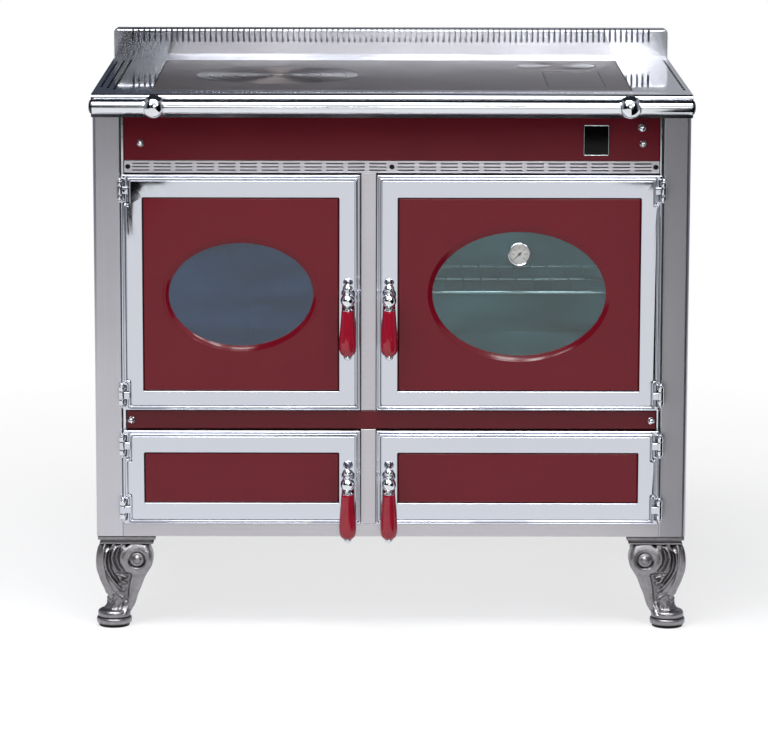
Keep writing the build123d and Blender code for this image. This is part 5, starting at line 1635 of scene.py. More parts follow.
# ---------------------------------------------------------------- top
@dataclass(frozen=True)
class Top:
    """The worktop, its slotted upstand, and the cast plate with rings, cover and lid."""

    half: float = 500.0
    deep: float = 650.0
    height: float = 915.5
    skirt: float = 38.5
    wall: float = 2.0
    nose: float = 7.0
    fold: float = 2.0
    # the shallow dip along the front edge: each bend's place in depth, its radius and its angle
    dips: tuple[Point3, ...] = ((60, 60, 1.2), (41, 30, -4.4), (32, 30, 3.2))
    plate_x: Span = (-402, 402)
    plate_y: Span = (70, 570)
    plate_gap: float = 1.5
    thick: float = 10.0
    rings: Point2 = RINGS_AT
    radii: tuple[float, ...] = (140.5, 119, 97, 75, 53)
    cover: Point2 = COVER_AT
    cover_radius: float = 69.0
    lid_x: Span = (264, 361)
    lid_y: Span = (118, 374)
    gap: float = 0.45
    seat: float = 4.0
    # the vents beside the plate: each row's place across and by how many half steps it starts late
    vent_rows: tuple[tuple[float, int], ...] = ((-466, 0), (-478, 1), (-490, 2), (490.5, 0))
    vent_run: tuple[float, float, float, float] = (89.5, 36, 28.6, 4)
    vent_count: int = 14
    upstand_front: float = 610.0
    upstand_top: float = 967.7
    upstand_half: float = 499.5
    upstand_bend: float = 3.5
    end_inset: float = 0.9
    slot_start: float = -465.0
    slot_pitch: float = 10.0
    slot_count: int = 94
    slot_wide: float = 4.0
    slot_low: float = 944.0
    slot_over: float = 18.0
    chamfer: Point2 = (7, 4)
    lift_slot: Point2 = (22, 7)

    def run(self, y: float) -> float:
        """Gives the place along the worktop's flat pattern of a depth on its top."""
        quarter = self.fold * math.pi / 2
        return self.skirt - self.fold + quarter + self.deep - self.fold - y

    def vents(self) -> list[Loop]:
        """Gives the vents beside the plate: three staggered rows on the left, one on the right.

        Returns:
            An outline for each vent.
        """
        start, pitch, length, width = self.vent_run
        return [Loop.slot((x, self.run(start + pitch * (i + late / 2))), length, width, upright=True)
                for x, late in self.vent_rows for i in range(self.vent_count - late)]

    def worktop_mesh(self) -> Mesh:
        """Builds the folded sheet: rear skirt, top with the plate's opening and vents, and rounded front.

        Returns:
            The sheet.
        """
        back = Bend(self.skirt - self.fold, self.fold, 90)
        front = Bend(self.run(self.nose), self.nose, 90)
        dip = [Bend(self.run(y), radius, angle) for y, radius, angle in self.dips]
        end = front.start + front.length + self.skirt - self.nose
        side = self.half - self.end_inset
        near, far = grown(self.plate_y, self.plate_gap)
        opening = Loop.rectangle(grown(self.plate_x, self.plate_gap), (self.run(far), self.run(near)), 1.5)
        pattern = flat_shape([Loop.rectangle((-side, side), (0, end)), opening, *self.vents()], fine=3)
        sheet = folded(pattern, (back, *dip, front), (self.deep, self.height - self.skirt), 90, 8)
        return faced(sheet, (0, -0.3, 1))

    def cheek_mesh(self) -> Mesh:
        """Builds the two ends of the worktop, which close the fold, with softened edges.

        Returns:
            Both ends.
        """
        low = self.height - self.skirt
        outline = Loop.corners([(0, low, 0.8), (self.deep, low, 0.8), (self.deep, self.height, self.fold),
                                (0, self.height, self.nose)])
        parts = []
        for side in BOTH_SIDES:
            plate = flat_shape([outline], self.wall, 0.8, 8, 3)
            start = -self.half if side < 0 else self.half - self.wall
            parts.append(placed(plate, Matrix(((0, 0, 1, start), (1, 0, 0, 0), (0, 1, 0, 0), (0, 0, 0, 1)))))
        return joined(parts)

    def ledge_mesh(self) -> Mesh:
        """Builds the dark ledge under the cast plate's edge.

        Returns:
            The ledge.
        """
        out = grown(self.plate_x, self.plate_gap + self.wall), grown(self.plate_y, self.plate_gap + self.wall)
        inside = grown(self.plate_x, -8.5), grown(self.plate_y, -8.5)
        ledge = flat_shape([Loop.rectangle(*out), Loop.rectangle(*inside)], self.wall)
        inner = (grown(side, -self.wall) for side in out)
        wall = flat_shape([Loop.rectangle(*out), Loop.rectangle(*inner)], self.thick - 0.2)
        base = self.height - self.thick
        return joined([placed(ledge, at(0, 0, base - self.wall)), placed(wall, at(0, 0, base - 0.1))])

    def upstand_mesh(self) -> Mesh:
        """Builds the upstand: folded over the top and down the back, with slots over the front edge.

        Returns:
            The sheet.
        """
        bend, half = self.upstand_bend, self.upstand_half - self.end_inset
        low = self.height + 0.1
        first = Bend(self.upstand_top - low - bend, bend, -90)
        second = Bend(first.start + first.length + self.deep - self.upstand_front - bend - 2, 2, -90)
        end = second.start + second.length + self.upstand_top - low - 2.0
        slot_run = (self.slot_low - low, first.start + first.length + self.slot_over - bend)
        slots = [Loop.slot((self.slot_start + self.slot_pitch * i, middle(slot_run)),
                           slot_run[1] - slot_run[0], self.slot_wide, upright=True)
                 for i in range(self.slot_count)]
        far = self.chamfer[0] - self.end_inset
        notch = first.start + first.length / 2
        right = [(half, 0, 0), (half, notch - 5, 0), (half - far, notch, 2), (half - far, second.start, 2),
                 (half, second.start + 5, 0), (half, end, 0)]
        left = [(-x, run, radius) for x, run, radius in reversed(right)]
        outline = Loop.corners([left[-1], *right, *left[:-1]])
        pattern = flat_shape([outline, *slots], fine=3)
        return faced(folded(pattern, (first, second), (self.upstand_front, low), 90, 6), (0, 0, 1))

    def upstand_end_mesh(self) -> Mesh:
        """Builds the upstand's two ends, which fold in over the corner's chamfer.

        Returns:
            Both ends.
        """
        low, high = self.height + 0.1, self.upstand_top - self.chamfer[1]
        angle = math.degrees(math.atan2(self.chamfer[0], self.chamfer[1]))
        lean = Bend(high - low - 1, 2, angle)
        run = lean.start + lean.length + math.hypot(*self.chamfer) - 1.0
        across = grown((self.upstand_front, self.deep), -self.end_inset)
        pattern = flat_shape([Loop.rectangle(across, (0, run), 1.5)])
        to_side = Matrix(((0, 1, 0, 0), (1, 0, 0, 0), (0, 0, 1, 0), (0, 0, 0, 1)))
        right = faced(placed(folded(pattern, (lean,), (self.upstand_half, low), 90), to_side), (1, 0, 0))
        return joined([copied(right, MIRROR_X), right])

    def slanted(self, mesh: Mesh, centre: Point2, reach: Span) -> Mesh:
        """Slants the round walls about a centre inwards to the underside, as seats are cast.

        Args:
            mesh: a plate on Z = 0 with its thickness.
            centre: the round's centre.
            reach: the radii between which points move.

        Returns:
            The same mesh.
        """
        for vert in mesh.verts:
            off = Vector((vert.co.x - centre[0], vert.co.y - centre[1], 0))
            if reach[0] < off.length < reach[1]:
                vert.co -= off.normalized() * self.seat * (1 - vert.co.z / self.thick)
        return mesh

    def disc_mesh(self, centre: Point2, radius: float, inner: float | None = None) -> Mesh:
        """Builds a round lid or a ring of the plate: slanted to its seat, its edges softened.

        Args:
            centre: its centre on the top.
            radius: the seat's radius at the top.
            inner: the radius at the top of the disc inside it, or None for a whole lid.

        Returns:
            The lid or ring.
        """
        big = radius - self.gap / 2
        if inner is None:
            hole, near = Loop.slot((0, 0), *self.lift_slot), big / 2
            x, y = (half / 2 + 1.0 for half in self.lift_slot)
            floor = [block((-x, x), (-y, y), (0.3, self.thick - 3), 0.2)]
        else:
            hole, near = Loop.ellipse((0, 0), *(inner + self.gap / 2,) * 2), 0.0
            floor = []
        plate = flat_shape([Loop.ellipse((0, 0), big, big), hole], self.thick, 1, 40, 3)
        mesh = joined([self.slanted(plate, (0, 0), (near, big + 1)), *floor])
        return placed(mesh, at(*centre, self.height - self.thick))

    def plate_mesh(self) -> Mesh:
        """Builds the cast plate with the openings for rings, cover and lid.

        Returns:
            The plate.
        """
        rounds = ((self.rings, self.radii[0] + self.gap / 2), (self.cover, self.cover_radius + self.gap / 2))
        holes = [Loop.ellipse(centre, radius, radius) for centre, radius in rounds]
        holes.append(Loop.rectangle(grown(self.lid_x, self.gap), grown(self.lid_y, self.gap), 3))
        plate = flat_shape([Loop.rectangle(self.plate_x, self.plate_y, 4), *holes], self.thick, 1, 40, 3)
        for centre, radius in rounds:
            self.slanted(plate, centre, (radius - 3, radius + 3))
        rebate = flat_shape([Loop.rectangle(grown(self.lid_x, 1), grown(self.lid_y, 1)),
                             Loop.rectangle(grown(self.lid_x, -5), grown(self.lid_y, -5))], 4.4)
        base = self.height - self.thick
        return joined([placed(plate, at(0, 0, base)), placed(rebate, at(0, 0, base + 0.2))])

    def lid_mesh(self) -> Mesh:
        """Builds the rectangular lid: its plate, and the tongue that drops in the rebate.

        Returns:
            The lid.
        """
        face = flat_shape([Loop.rectangle(self.lid_x, self.lid_y, 3)], 4.6, 1, 8, 3)
        deep = (self.height - self.thick, self.height - 4)
        tongue = block(grown(self.lid_x, -5.4), grown(self.lid_y, -5.4), deep, 0.5)
        return joined([placed(face, at(0, 0, self.height - 4.6)), tongue])

    def build(self) -> None:
        """Makes the top's pieces."""
        piece(self.worktop_mesh(), "worktop_sheet", STEEL_WORKTOP, replaces="worktop",
              wall=self.wall)
        piece(self.cheek_mesh(), "worktop_ends", STEEL_WORKTOP)
        piece(self.ledge_mesh(), "worktop_ledge", DARK_PAINT)
        piece(self.upstand_mesh(), "upstand_sheet", STEEL_UPSTAND, replaces="upstand",
              wall=self.wall)
        piece(self.upstand_end_mesh(), "upstand_ends", STEEL_UPSTAND, wall=self.wall)
        piece(self.plate_mesh(), "cast_plate", IRON_PLATE, replaces="hotplate")
        for i, (radius, inner) in enumerate(zip(self.radii, self.radii[1:]), 1):
            name = f"ring_{i}"
            piece(self.disc_mesh(self.rings, radius, inner), f"cast_{name}", IRON_RINGS, f"{name}_body",
                  replaces=name)
        piece(self.disc_mesh(self.rings, self.radii[-1]), "cast_ring_lid", IRON_RINGS, Body.RING_LID,
              replaces="ring_lid")
        piece(self.disc_mesh(self.cover, self.cover_radius), "cast_flue_cover", IRON_COVER, Body.FLUE_COVER,
              replaces="flue_cover")
        piece(self.lid_mesh(), "cast_soot_lid", IRON_PLATE, Body.SOOT_LID,
              replaces="soot_lid")


# ---------------------------------------------------------------- towel rail and damper
@dataclass(frozen=True)
class Rail:
    """The towel rail: a bright tube through two balls, with dark domed ends."""

    y: float = -25.0
    z: float = 897.5
    radius: float = 12.0
    reach: float = 496.0
    ball: float = 20.0
    ball_x: float = 394.0

    def build(self) -> None:
        """Makes the tube, the balls with their necks, and the ends."""
        line = at(0, self.y, self.z) @ TO_RIGHT
        tube_mesh = turned([(0, -self.reach), (self.radius, -self.reach), (self.radius, self.reach),
                            (0, self.reach)], 96)
        piece(placed(tube_mesh, line), "rail_bright_tube", CHROME_TURNED, replaces="rail_tube",
              flats=False)
        edge = math.degrees(math.asin((self.radius + 0.6) / self.ball))
        sphere = [(y, x) for x, y in arc((0, 0), self.ball, edge, 180 - edge, 40)]
        parts = []
        for side in BOTH_SIDES:
            place = at(side * self.ball_x, self.y, self.z)
            collar = [(self.radius + 0.05, 17.6), (self.radius + 1.6, 17.4), (self.radius + 1.8, 16.4),
                      (self.radius + 0.05, 15)]
            parts.append(placed(turned(sphere, 96), place @ TO_RIGHT))
            parts += [placed(turned(collar, 96), place @ Matrix.Rotation(math.radians(90 * way), 4, "Y"))
                      for way in BOTH_SIDES]
            neck = turned([(9, 14), (9, 21.6), (9.6, 22.6), (11.2, 23.6), (12.2, 24.4), (12.2, 24.9),
                           (0, 24.9)], 64)
            parts.append(placed(neck, place @ TO_BACK))
        piece(joined(parts), "rail_balls", CHROME_TURNED, replaces="rail_brackets", sharp=40.0,
              flats=False)
        dome = [(0, -0.1), (self.radius, -0.1), (12, 1.4), (11.4, 3), (9.4, 4.5), (6, 5.6), (2.6, 5.95),
                (0, 6)]
        ends = [placed(turned(dome, 64), at(side * self.reach, self.y, self.z)
                       @ Matrix.Rotation(math.radians(90 * side), 4, "Y")) for side in BOTH_SIDES]
        piece(joined(ends), "rail_ends", BLACK_CAP, replaces="rail_end_caps", flats=False)


@dataclass(frozen=True)
class Damper:
    """The start-up damper: a bright acorn knob on a rod, and its plate behind the baffle."""

    place: Point2 = (417, 858)
    face: float = 24.7
    rod: float = 3.5
    rod_long: float = 391.0
    bore: float = 3.58
    plate_y: Span = (416.7, 419.7)
    plate_half: Point2 = (42, 36)

    def build(self) -> None:
        """Makes the knob with its washer, the rod and the plate."""
        knob = turned([(0, -0.2), (6.4, -0.2), (6.8, 0.3), (6.6, 1), (5.2, 1.5), (5, 2.6), (5.4, 3.4),
                       (6.2, 4.6), (6.5, 6.2), (6.3, 8), (5.5, 9.8), (4, 11.2), (2, 11.9), (0, 12)], 56)
        rod = turned([(0, 0), (self.rod, 0), (self.rod, self.rod_long), (0, self.rod_long)], 32)
        x, z = self.place
        across, up = self.plate_half
        plate = block(grown((x, x), across), self.plate_y, grown((z, z), up), 1)
        parts = [placed(knob, at(x, self.face, z) @ TO_FRONT), placed(rod, at(x, self.face, z) @ TO_BACK),
                 plate]
        piece(joined(parts), "damper_knob", CHROME_TURNED, Body.DAMPER, replaces="flue_damper",
              sharp=40.0)


# ---------------------------------------------------------------- inside
@dataclass(frozen=True)
class Inside:
    """What shows when the doors are open: oven, rack, fire chamber, bricks, grate and ash pan."""

    rack_x: Span = (25.1, 402)
    rack_y: Span = (49, 349)
    rack_z: float = 576.0
    bar: float = 2.9
    wire: float = 1.7
    wires: int = 13
    pitch: float = 30.0

    def rod(self, start: Vector, end: Vector, radius: float) -> Mesh:
        """Builds a round bar with domed ends between two points.

        Args:
            start: the middle of one end.
            end: the middle of the other.
            radius: the bar's radius.

        Returns:
            The bar.
        """
        length = (end - start).length
        dome = [(0, 0), (radius * 0.6, 0.15 * radius), (radius, 0.6 * radius)]
        profile = dome + [(across, length - along) for across, along in reversed(dome)]
        turn = (end - start).to_track_quat("Z", "Y").to_matrix().to_4x4()
        return placed(turned(profile, 16), Matrix.Translation(start) @ turn)

    def rack_mesh(self) -> Mesh:
        """Builds the rack: three bars across, and wires over them that run back.

        Returns:
            The rack.
        """
        parts = []
        for y in (self.rack_y[0] + 3, middle(self.rack_y), self.rack_y[1] - 3):
            ends = [Vector((x, y, self.rack_z)) for x in self.rack_x]
            parts.append(self.rod(*ends, self.bar))
        start = middle(self.rack_x) - self.pitch * (self.wires - 1) / 2
        for i in range(self.wires):
            x, z = start + self.pitch * i, self.rack_z + self.bar
            parts.append(self.rod(Vector((x, self.rack_y[0], z)), Vector((x, self.rack_y[1], z)), self.wire))
        return joined(parts)

    def build(self) -> None:
        """Makes the rack and dresses what keeps its CAD shape."""
        piece(self.rack_mesh(), "rack_wires", CHROME_TURNED, replaces="oven_rack",
              flats=False)
        for node, finish in (("oven_box", OVEN_ENAMEL), ("firebox_shell", SOOTED_STEEL),
                             ("ash_pan", PLAIN_STEEL), ("firebrick_lining", FIRE_BRICK),
                             ("fire_grate", RAW_IRON)):
            dressed(node, finish)


# ---------------------------------------------------------------- legs
@dataclass(frozen=True)
class Ridge:
    """A raised vein or leaf edge on a casting: its run as (in from the corner, height), width and rise."""

    run: tuple[Point2, ...]
    width: float
    rise: float

    def near(self, u: float, z: float) -> float:
        """Gives how far a point lies from the ridge's run.

        Args:
            u: how far in from the corner the place lies.
            z: the place's height.

        Returns:
            The shortest way to the run.
        """
        best = 1e9
        for (u1, z1), (u2, z2) in zip(self.run, self.run[1:]):
            du, dz = u2 - u1, z2 - z1
            share = max(0, min(1, ((u - u1) * du + (z - z1) * dz) / (du * du + dz * dz)))
            best = min(best, math.hypot(u - u1 - du * share, z - z1 - dz * share))
        return best

    def height(self, u: float, z: float) -> float:
        """Gives the ridge's rise over a point."""
        far = self.near(u, z) / self.width
        return self.rise * (1 - far * far) ** 2 if far < 1 else 0.0


@dataclass(frozen=True)
class Leg:
    """A cast leg: a plate and a neck, a knee with an acanthus leaf, a scroll, an ankle and a two-ring foot.

    It is drawn in its own corner: u and v run in from the two outer faces, which are alike.
    """

    outer: tuple[Point2, ...] = ((22, 3), (26, 8), (30, 12.5), (34, 14.8), (40, 16.2), (46, 16.4),
                                 (56, 15.3), (66.6, 12.2), (77.6, 8.2), (88.5, 5), (99.5, 1.8), (113, 0.8),
                                 (128, 1.8), (138, 4.2), (146.7, 7.9))
    inner: tuple[Point2, ...] = ((22, 58), (28, 62), (34, 66), (44.7, 69.8), (55.7, 73),
                                 (66.6, 77.5), (77.6, 81.5), (88.5, 85.8), (100, 92.6), (108, 97.2),
                                 (118, 99), (129, 97.4), (138, 93.6), (146.7, 90.2))
    relief_room: float = 3.0
    arm: float = 45.0
    levels: int = 104
    face_points: int = 76
    scroll: Point2 = (71, 119)
    ridges: tuple[Ridge, ...] = (
        Ridge(((17.5, 149), (14, 135.6), (12.9, 114.5), (16.5, 88), (22.7, 70), (28.9, 56.3)), 3.8, 3.2),
        Ridge(((34, 149), (18.6, 130), (16.5, 116.5), (18.6, 103), (25.3, 88), (36.6, 72), (44.8, 62.6)),
              3.6, 3),
        Ridge(((48, 149), (31.4, 134.6), (27.3, 124), (31, 111), (37.6, 98.6)), 3.8, 3.4),
        Ridge(((65.5, 146), (49, 136.7), (42.8, 126), (44.8, 114.5), (53, 105), (62.4, 99.7)), 3.6, 3.2),
        Ridge(((35, 93.3), (43, 91.5), (51.5, 88)), 2.8, 2.6),
        Ridge(((40.2, 81.7), (52.6, 77.4)), 2.6, 2.4),
        Ridge(((37.1, 69), (46.4, 61.6)), 2.6, 2.3),
        Ridge(((31.9, 59.4), (45.3, 49.9)), 2.6, 2.2),
        Ridge(((63.9, 93.3), (57.7, 61.6), (58.7, 47.8)), 3, 2.2),
        Ridge(((15, 28), (22, 38), (31, 48)), 3.2, 2.4),
        Ridge(((26, 27), (32, 38), (36, 47)), 3, 2.2),
        Ridge(((50, 27), (56, 38), (58, 47)), 4, 2.4),
        Ridge(((85.6, 142), (91, 143), (96, 147)), 3, 2),
        Ridge(((74, 143.5), (84, 138.5), (93, 129)), 2.6, 1.4))
    hollows: tuple[Ridge, ...] = (
        Ridge(((24, 147), (23.5, 128), (22.3, 116), (24.5, 103), (31, 90), (39, 79)), 5.4, -3.4),
        Ridge(((40, 145), (37, 130), (36, 120), (39, 109), (46, 99)), 6, -3.6),
        Ridge(((9.5, 140), (7.5, 118), (10, 92), (17, 68)), 4, -1),
        Ridge(((56, 147), (53, 136), (50, 128)), 5, -3.4),
        Ridge(((60, 97), (54, 78), (52, 58), (51, 46)), 5, -2.6),
        Ridge(((44, 95), (56, 92)), 4.8, -2.8),
        Ridge(((46, 84), (54, 82)), 4.6, -2.6),
        Ridge(((44, 73), (52, 69)), 4.4, -2.4),
        Ridge(((41, 63), (52, 56)), 4, -2.2),
        Ridge(((20, 30), (27, 42)), 3.2, -1.6),
        Ridge(((40, 29), (44, 44)), 6, -2))

    def relief(self, u: float, z: float) -> float:
        """Gives how far the casting's surface stands out at a place on either outer face.

        Args:
            u: how far in from the corner the place lies.
            z: the place's height.

        Returns:
            The rise, which is below 0 in a hollow.
        """
        raised = max((ridge.height(u, z) for ridge in self.ridges), default=0.0)
        sunk = min((hollow.height(u, z) for hollow in self.hollows), default=0.0)
        far = math.hypot(u - self.scroll[0], z - self.scroll[1])
        turn = math.atan2(z - self.scroll[1], u - self.scroll[0]) / (2 * math.pi)
        # the scroll: a roll whose radius grows as it turns, round a sunk eye with a button in it
        roll, groove = 20.5 + 2.0 * turn, 12.2 - 2.6 * turn
        scroll = 3.6 * math.sqrt(max(0, 1 - ((far - roll) / 8.6) ** 2)) - 1.2
        if far < groove + 1.4:
            scroll = -1.6 + 1.8 * smooth_step(groove + 1.4, groove - 3, far)
        if far < 6.6:
            scroll = max(scroll, 0.2 + 3.6 * math.sqrt(1 - (far / 6.6) ** 2))
        return mix(raised + sunk, scroll, smooth_step(29.5, 26.5, far))

    def rounding(self, centre: Point2, radius: float, start: float, end: float,
                 steps: int) -> list[tuple[Point2, Point2]]:
        """Gives points on an arc, each with its outward direction."""
        return [(spot, ((spot[0] - centre[0]) / radius, (spot[1] - centre[1]) / radius))
                for spot in arc(centre, radius, start, end, steps)]

    def section(self, z: float) -> list[tuple[Point2, Point2, float]]:
        """Gives half of the leg's section at a height, from its outer corner to its inner one.

        Args:
            z: the height.

        Returns:
            Points as (place, outward direction, place across the face for the relief or -1 for none).
        """
        low = from_table(self.outer, z) + self.relief_room
        high = from_table(self.inner, z) - 1.2
        slim = smooth_step(44, 66, z)
        corner, end = mix(17, 9, smooth_step(40, 90, z)), mix(15, 6, slim)
        arm = mix(high - 0.6, self.arm, slim)
        inner_end = min(mix(14, 4, slim), (arm - low) / 2 - 0.5)
        points = [(spot, way, spot[0]) for spot, way in
                  self.rounding((low + corner, low + corner), corner, 225, 270, 8)[:-1]]
        for i in range(self.face_points):
            u = mix(low + corner, high - end, i / (self.face_points - 1))
            points.append(((u, low), (0, -1), u))
        points += [(spot, way, spot[0]) for spot, way in
                   self.rounding((high - end, low + end), end, 270, 360, 8)[1:]]
        for i in range(1, 6):
            v = mix(low + end, arm - inner_end, i / 5)
            points.append(((high, v), (1, 0), -1))
        points += [(spot, way, -1) for spot, way in
                   self.rounding((high - inner_end, arm - inner_end), inner_end, 0, 90, 5)[1:]]
        for i in range(1, 7):
            u = mix(high - inner_end, min(arm, high - inner_end), i / 6)
            points.append(((u, mix(arm, min(arm, high - inner_end), i / 6)), (0, 1), -1))
        return points

    def body_mesh(self) -> Mesh:
        """Builds the casting between the neck and the foot, its relief alike on both outer faces.

        Returns:
            The casting.
        """
        half = self.section(100)
        around = 2 * len(half) - 2
        mesh = bmesh.new()
        bmesh.ops.create_grid(mesh, x_segments=around, y_segments=self.levels, size=0.5)
        rows: dict[int, list[tuple[Point2, Point2, float]]] = {}
        for vert in mesh.verts:
            step, level = round((vert.co.x + 0.5) * around), round((vert.co.y + 0.5) * self.levels)
            z = mix(self.outer[0][0], self.outer[-1][0], level / self.levels)
            if level not in rows:
                rows[level] = [self.stood_out(spot, z) for spot in self.section(z)]
            step %= around
            swapped = step > len(half) - 1
            u, v = rows[level][around - step if swapped else step]
            vert.co = Vector((v, u, z) if swapped else (u, v, z))
        bmesh.ops.remove_doubles(mesh, verts=mesh.verts, dist=1e-3)
        bmesh.ops.holes_fill(mesh, edges=[edge for edge in mesh.edges if edge.is_boundary], sides=0)
        bmesh.ops.recalc_face_normals(mesh, faces=mesh.faces)
        return mesh

    def stood_out(self, spot: tuple[Point2, Point2, float], z: float) -> Point2:
        """Gives a section's point moved out by the relief there.

        Args:
            spot: the point, the way it faces, and how far in from the corner it lies,
                which is below 0 where there is no relief.
            z: the section's height.

        Returns:
            The point moved out.
        """
        (u, v), (way_u, way_v), across = spot
        if across < 0:
            return (u, v)
        fade = 1.0 - max(0, way_u)
        rise = self.relief(across, z) * fade
        return (max(0.3, u + way_u * rise), max(0.3, v + way_v * rise))

    def foot_mesh(self) -> Mesh:
        """Builds the foot's two turned rings.

        Returns:
            The rings.
        """
        profile = [(0, 29.5), (18, 29.2), (23.5, 28.2), (26, 26.8), (27.4, 24.6), (27.8, 22), (27.7, 19),
                   (27.2, 17.2), (26.4, 16.2), (26.4, 15.6), (27.6, 15.2), (29.2, 14.4), (29.9, 12.8),
                   (30, 10.6), (29.8, 7.6), (29.2, 5.6), (27.8, 4.4), (26.6, 4), (26, 2.4), (0, 2.4)]
        return placed(turned(profile, 72), at(30, 30, 0))

    def cap_mesh(self) -> Mesh:
        """Builds the plate under the stove and the neck under the plate.

        Returns:
            The plate and the neck.
        """
        plate = block((4.5, 102.8), (4.5, 102.8), (153, 160.5), 2.2, 4)
        neck = block((9.5, 96.5), (9.5, 96.5), (144, 155), 2, 3)
        bead = block((7.4, 98.9), (7.4, 98.9), (145.4, 148.6), 1.5, 3)
        return joined([plate, neck, bead])

    def build(self) -> None:
        """Makes the four legs and their pads."""
        casting = joined([self.body_mesh(), self.foot_mesh(), self.cap_mesh()])
        pad = placed(turned([(0, 2.5), (25.4, 2.5), (26, 1.9), (26, 0.5), (25.5, 0), (0, 0)], 64),
                     at(30, 30, 0))
        for name, corner_y, flip in (("front", 22.5, Matrix.Identity(4)), ("rear", 642.5, MIRROR_Y)):
            for shape, finish, label in ((casting, NICKEL_CASTING, "legs_cast"),
                                         (pad, DARK_FOOT_PAD, "leg_pads")):
                left = copied(shape, at(-502.5, corner_y, 0) @ flip)
                right = copied(left, MIRROR_X)
                node, slot = (f"{name}_legs", "antique_nickel") if shape is casting else (None, None)
                piece(joined([left, right]), f"{name}_{label}", finish, replaces=node, sharp=70.0)
        casting.free()
        pad.free()


# ---------------------------------------------------------------- the studio
@dataclass(frozen=True)
class Card:
    """A card that only mirrors see: its middle, its size, the way it faces, and its colours across."""

    name: str
    centre: Point3
    size: Point2
    facing: Point3
    start: str
    end: str = ""
    strength: float = 1.0
    fade: Span | None = None
    outline: tuple[Point2, ...] = ()

    def sheet(self) -> Mesh:
        """Builds the card flat: a rectangle, or its own outline if it has one.

        Returns:
            The flat card.
        """
        mesh = bmesh.new()
        if self.outline:
            mesh.faces.new([mesh.verts.new((x, y, 0)) for x, y in self.outline])
            return mesh
        bmesh.ops.create_grid(mesh, x_segments=1, y_segments=1, size=0.5)
        bmesh.ops.transform(mesh, matrix=Matrix.Diagonal((*self.size, 1, 1)), verts=mesh.verts)
        return mesh

    def build(self) -> None:
        """Hangs the card in the studio."""
        card = in_scene(self.sheet(), self.name)
        card.location = self.centre
        if not self.outline:
            card.rotation_euler = Vector(self.facing).to_track_quat("Z", "Y").to_euler()
        tree = bare_material(card)
        where = add_node(tree, "TexCoord").outputs["Object"]
        across = add_node(tree, "SeparateXYZ", {"Vector": where}).outputs[0]
        low, high = self.fade or (-self.size[0] / 2, self.size[0] / 2)
        share = add_node(tree, "MapRange", {"Value": across, "From Min": low, "From Max": high})
        colour = add_node(tree, "Mix", {
            MIX_SHARE: share.outputs[0], MIX_FIRST: linear(self.start),
            MIX_SECOND: linear(self.end or self.start)}, data_type="RGBA").outputs[MIX_RESULT]
        light = add_node(tree, "Emission", {"Color": colour, "Strength": self.strength})
        add_node(tree, "OutputMaterial", {"Surface": light.outputs[0]})
        card.visible_camera = card.visible_diffuse = card.visible_shadow = False


@dataclass(frozen=True)
class Lamp:
    """A soft lamp: its place, the point it looks at, its size and its power."""

    name: str
    place: Point3
    target: Point3
    size: Point2
    power: float
    colour: str = "FFFFFF"

    def build(self) -> None:
        """Hangs the lamp."""
        data = bpy.data.lights.new(self.name, "AREA")
        data.shape = "RECTANGLE"
        data.size, data.size_y = self.size
        data.energy = self.power
        data.color = linear(self.colour)[:3]
        lamp = bpy.data.objects.new(self.name, data)
        bpy.context.scene.collection.objects.link(lamp)
        lamp.location = self.place
        lamp.rotation_euler = (Vector(self.place) - Vector(self.target)).to_track_quat("Z", "Y").to_euler()


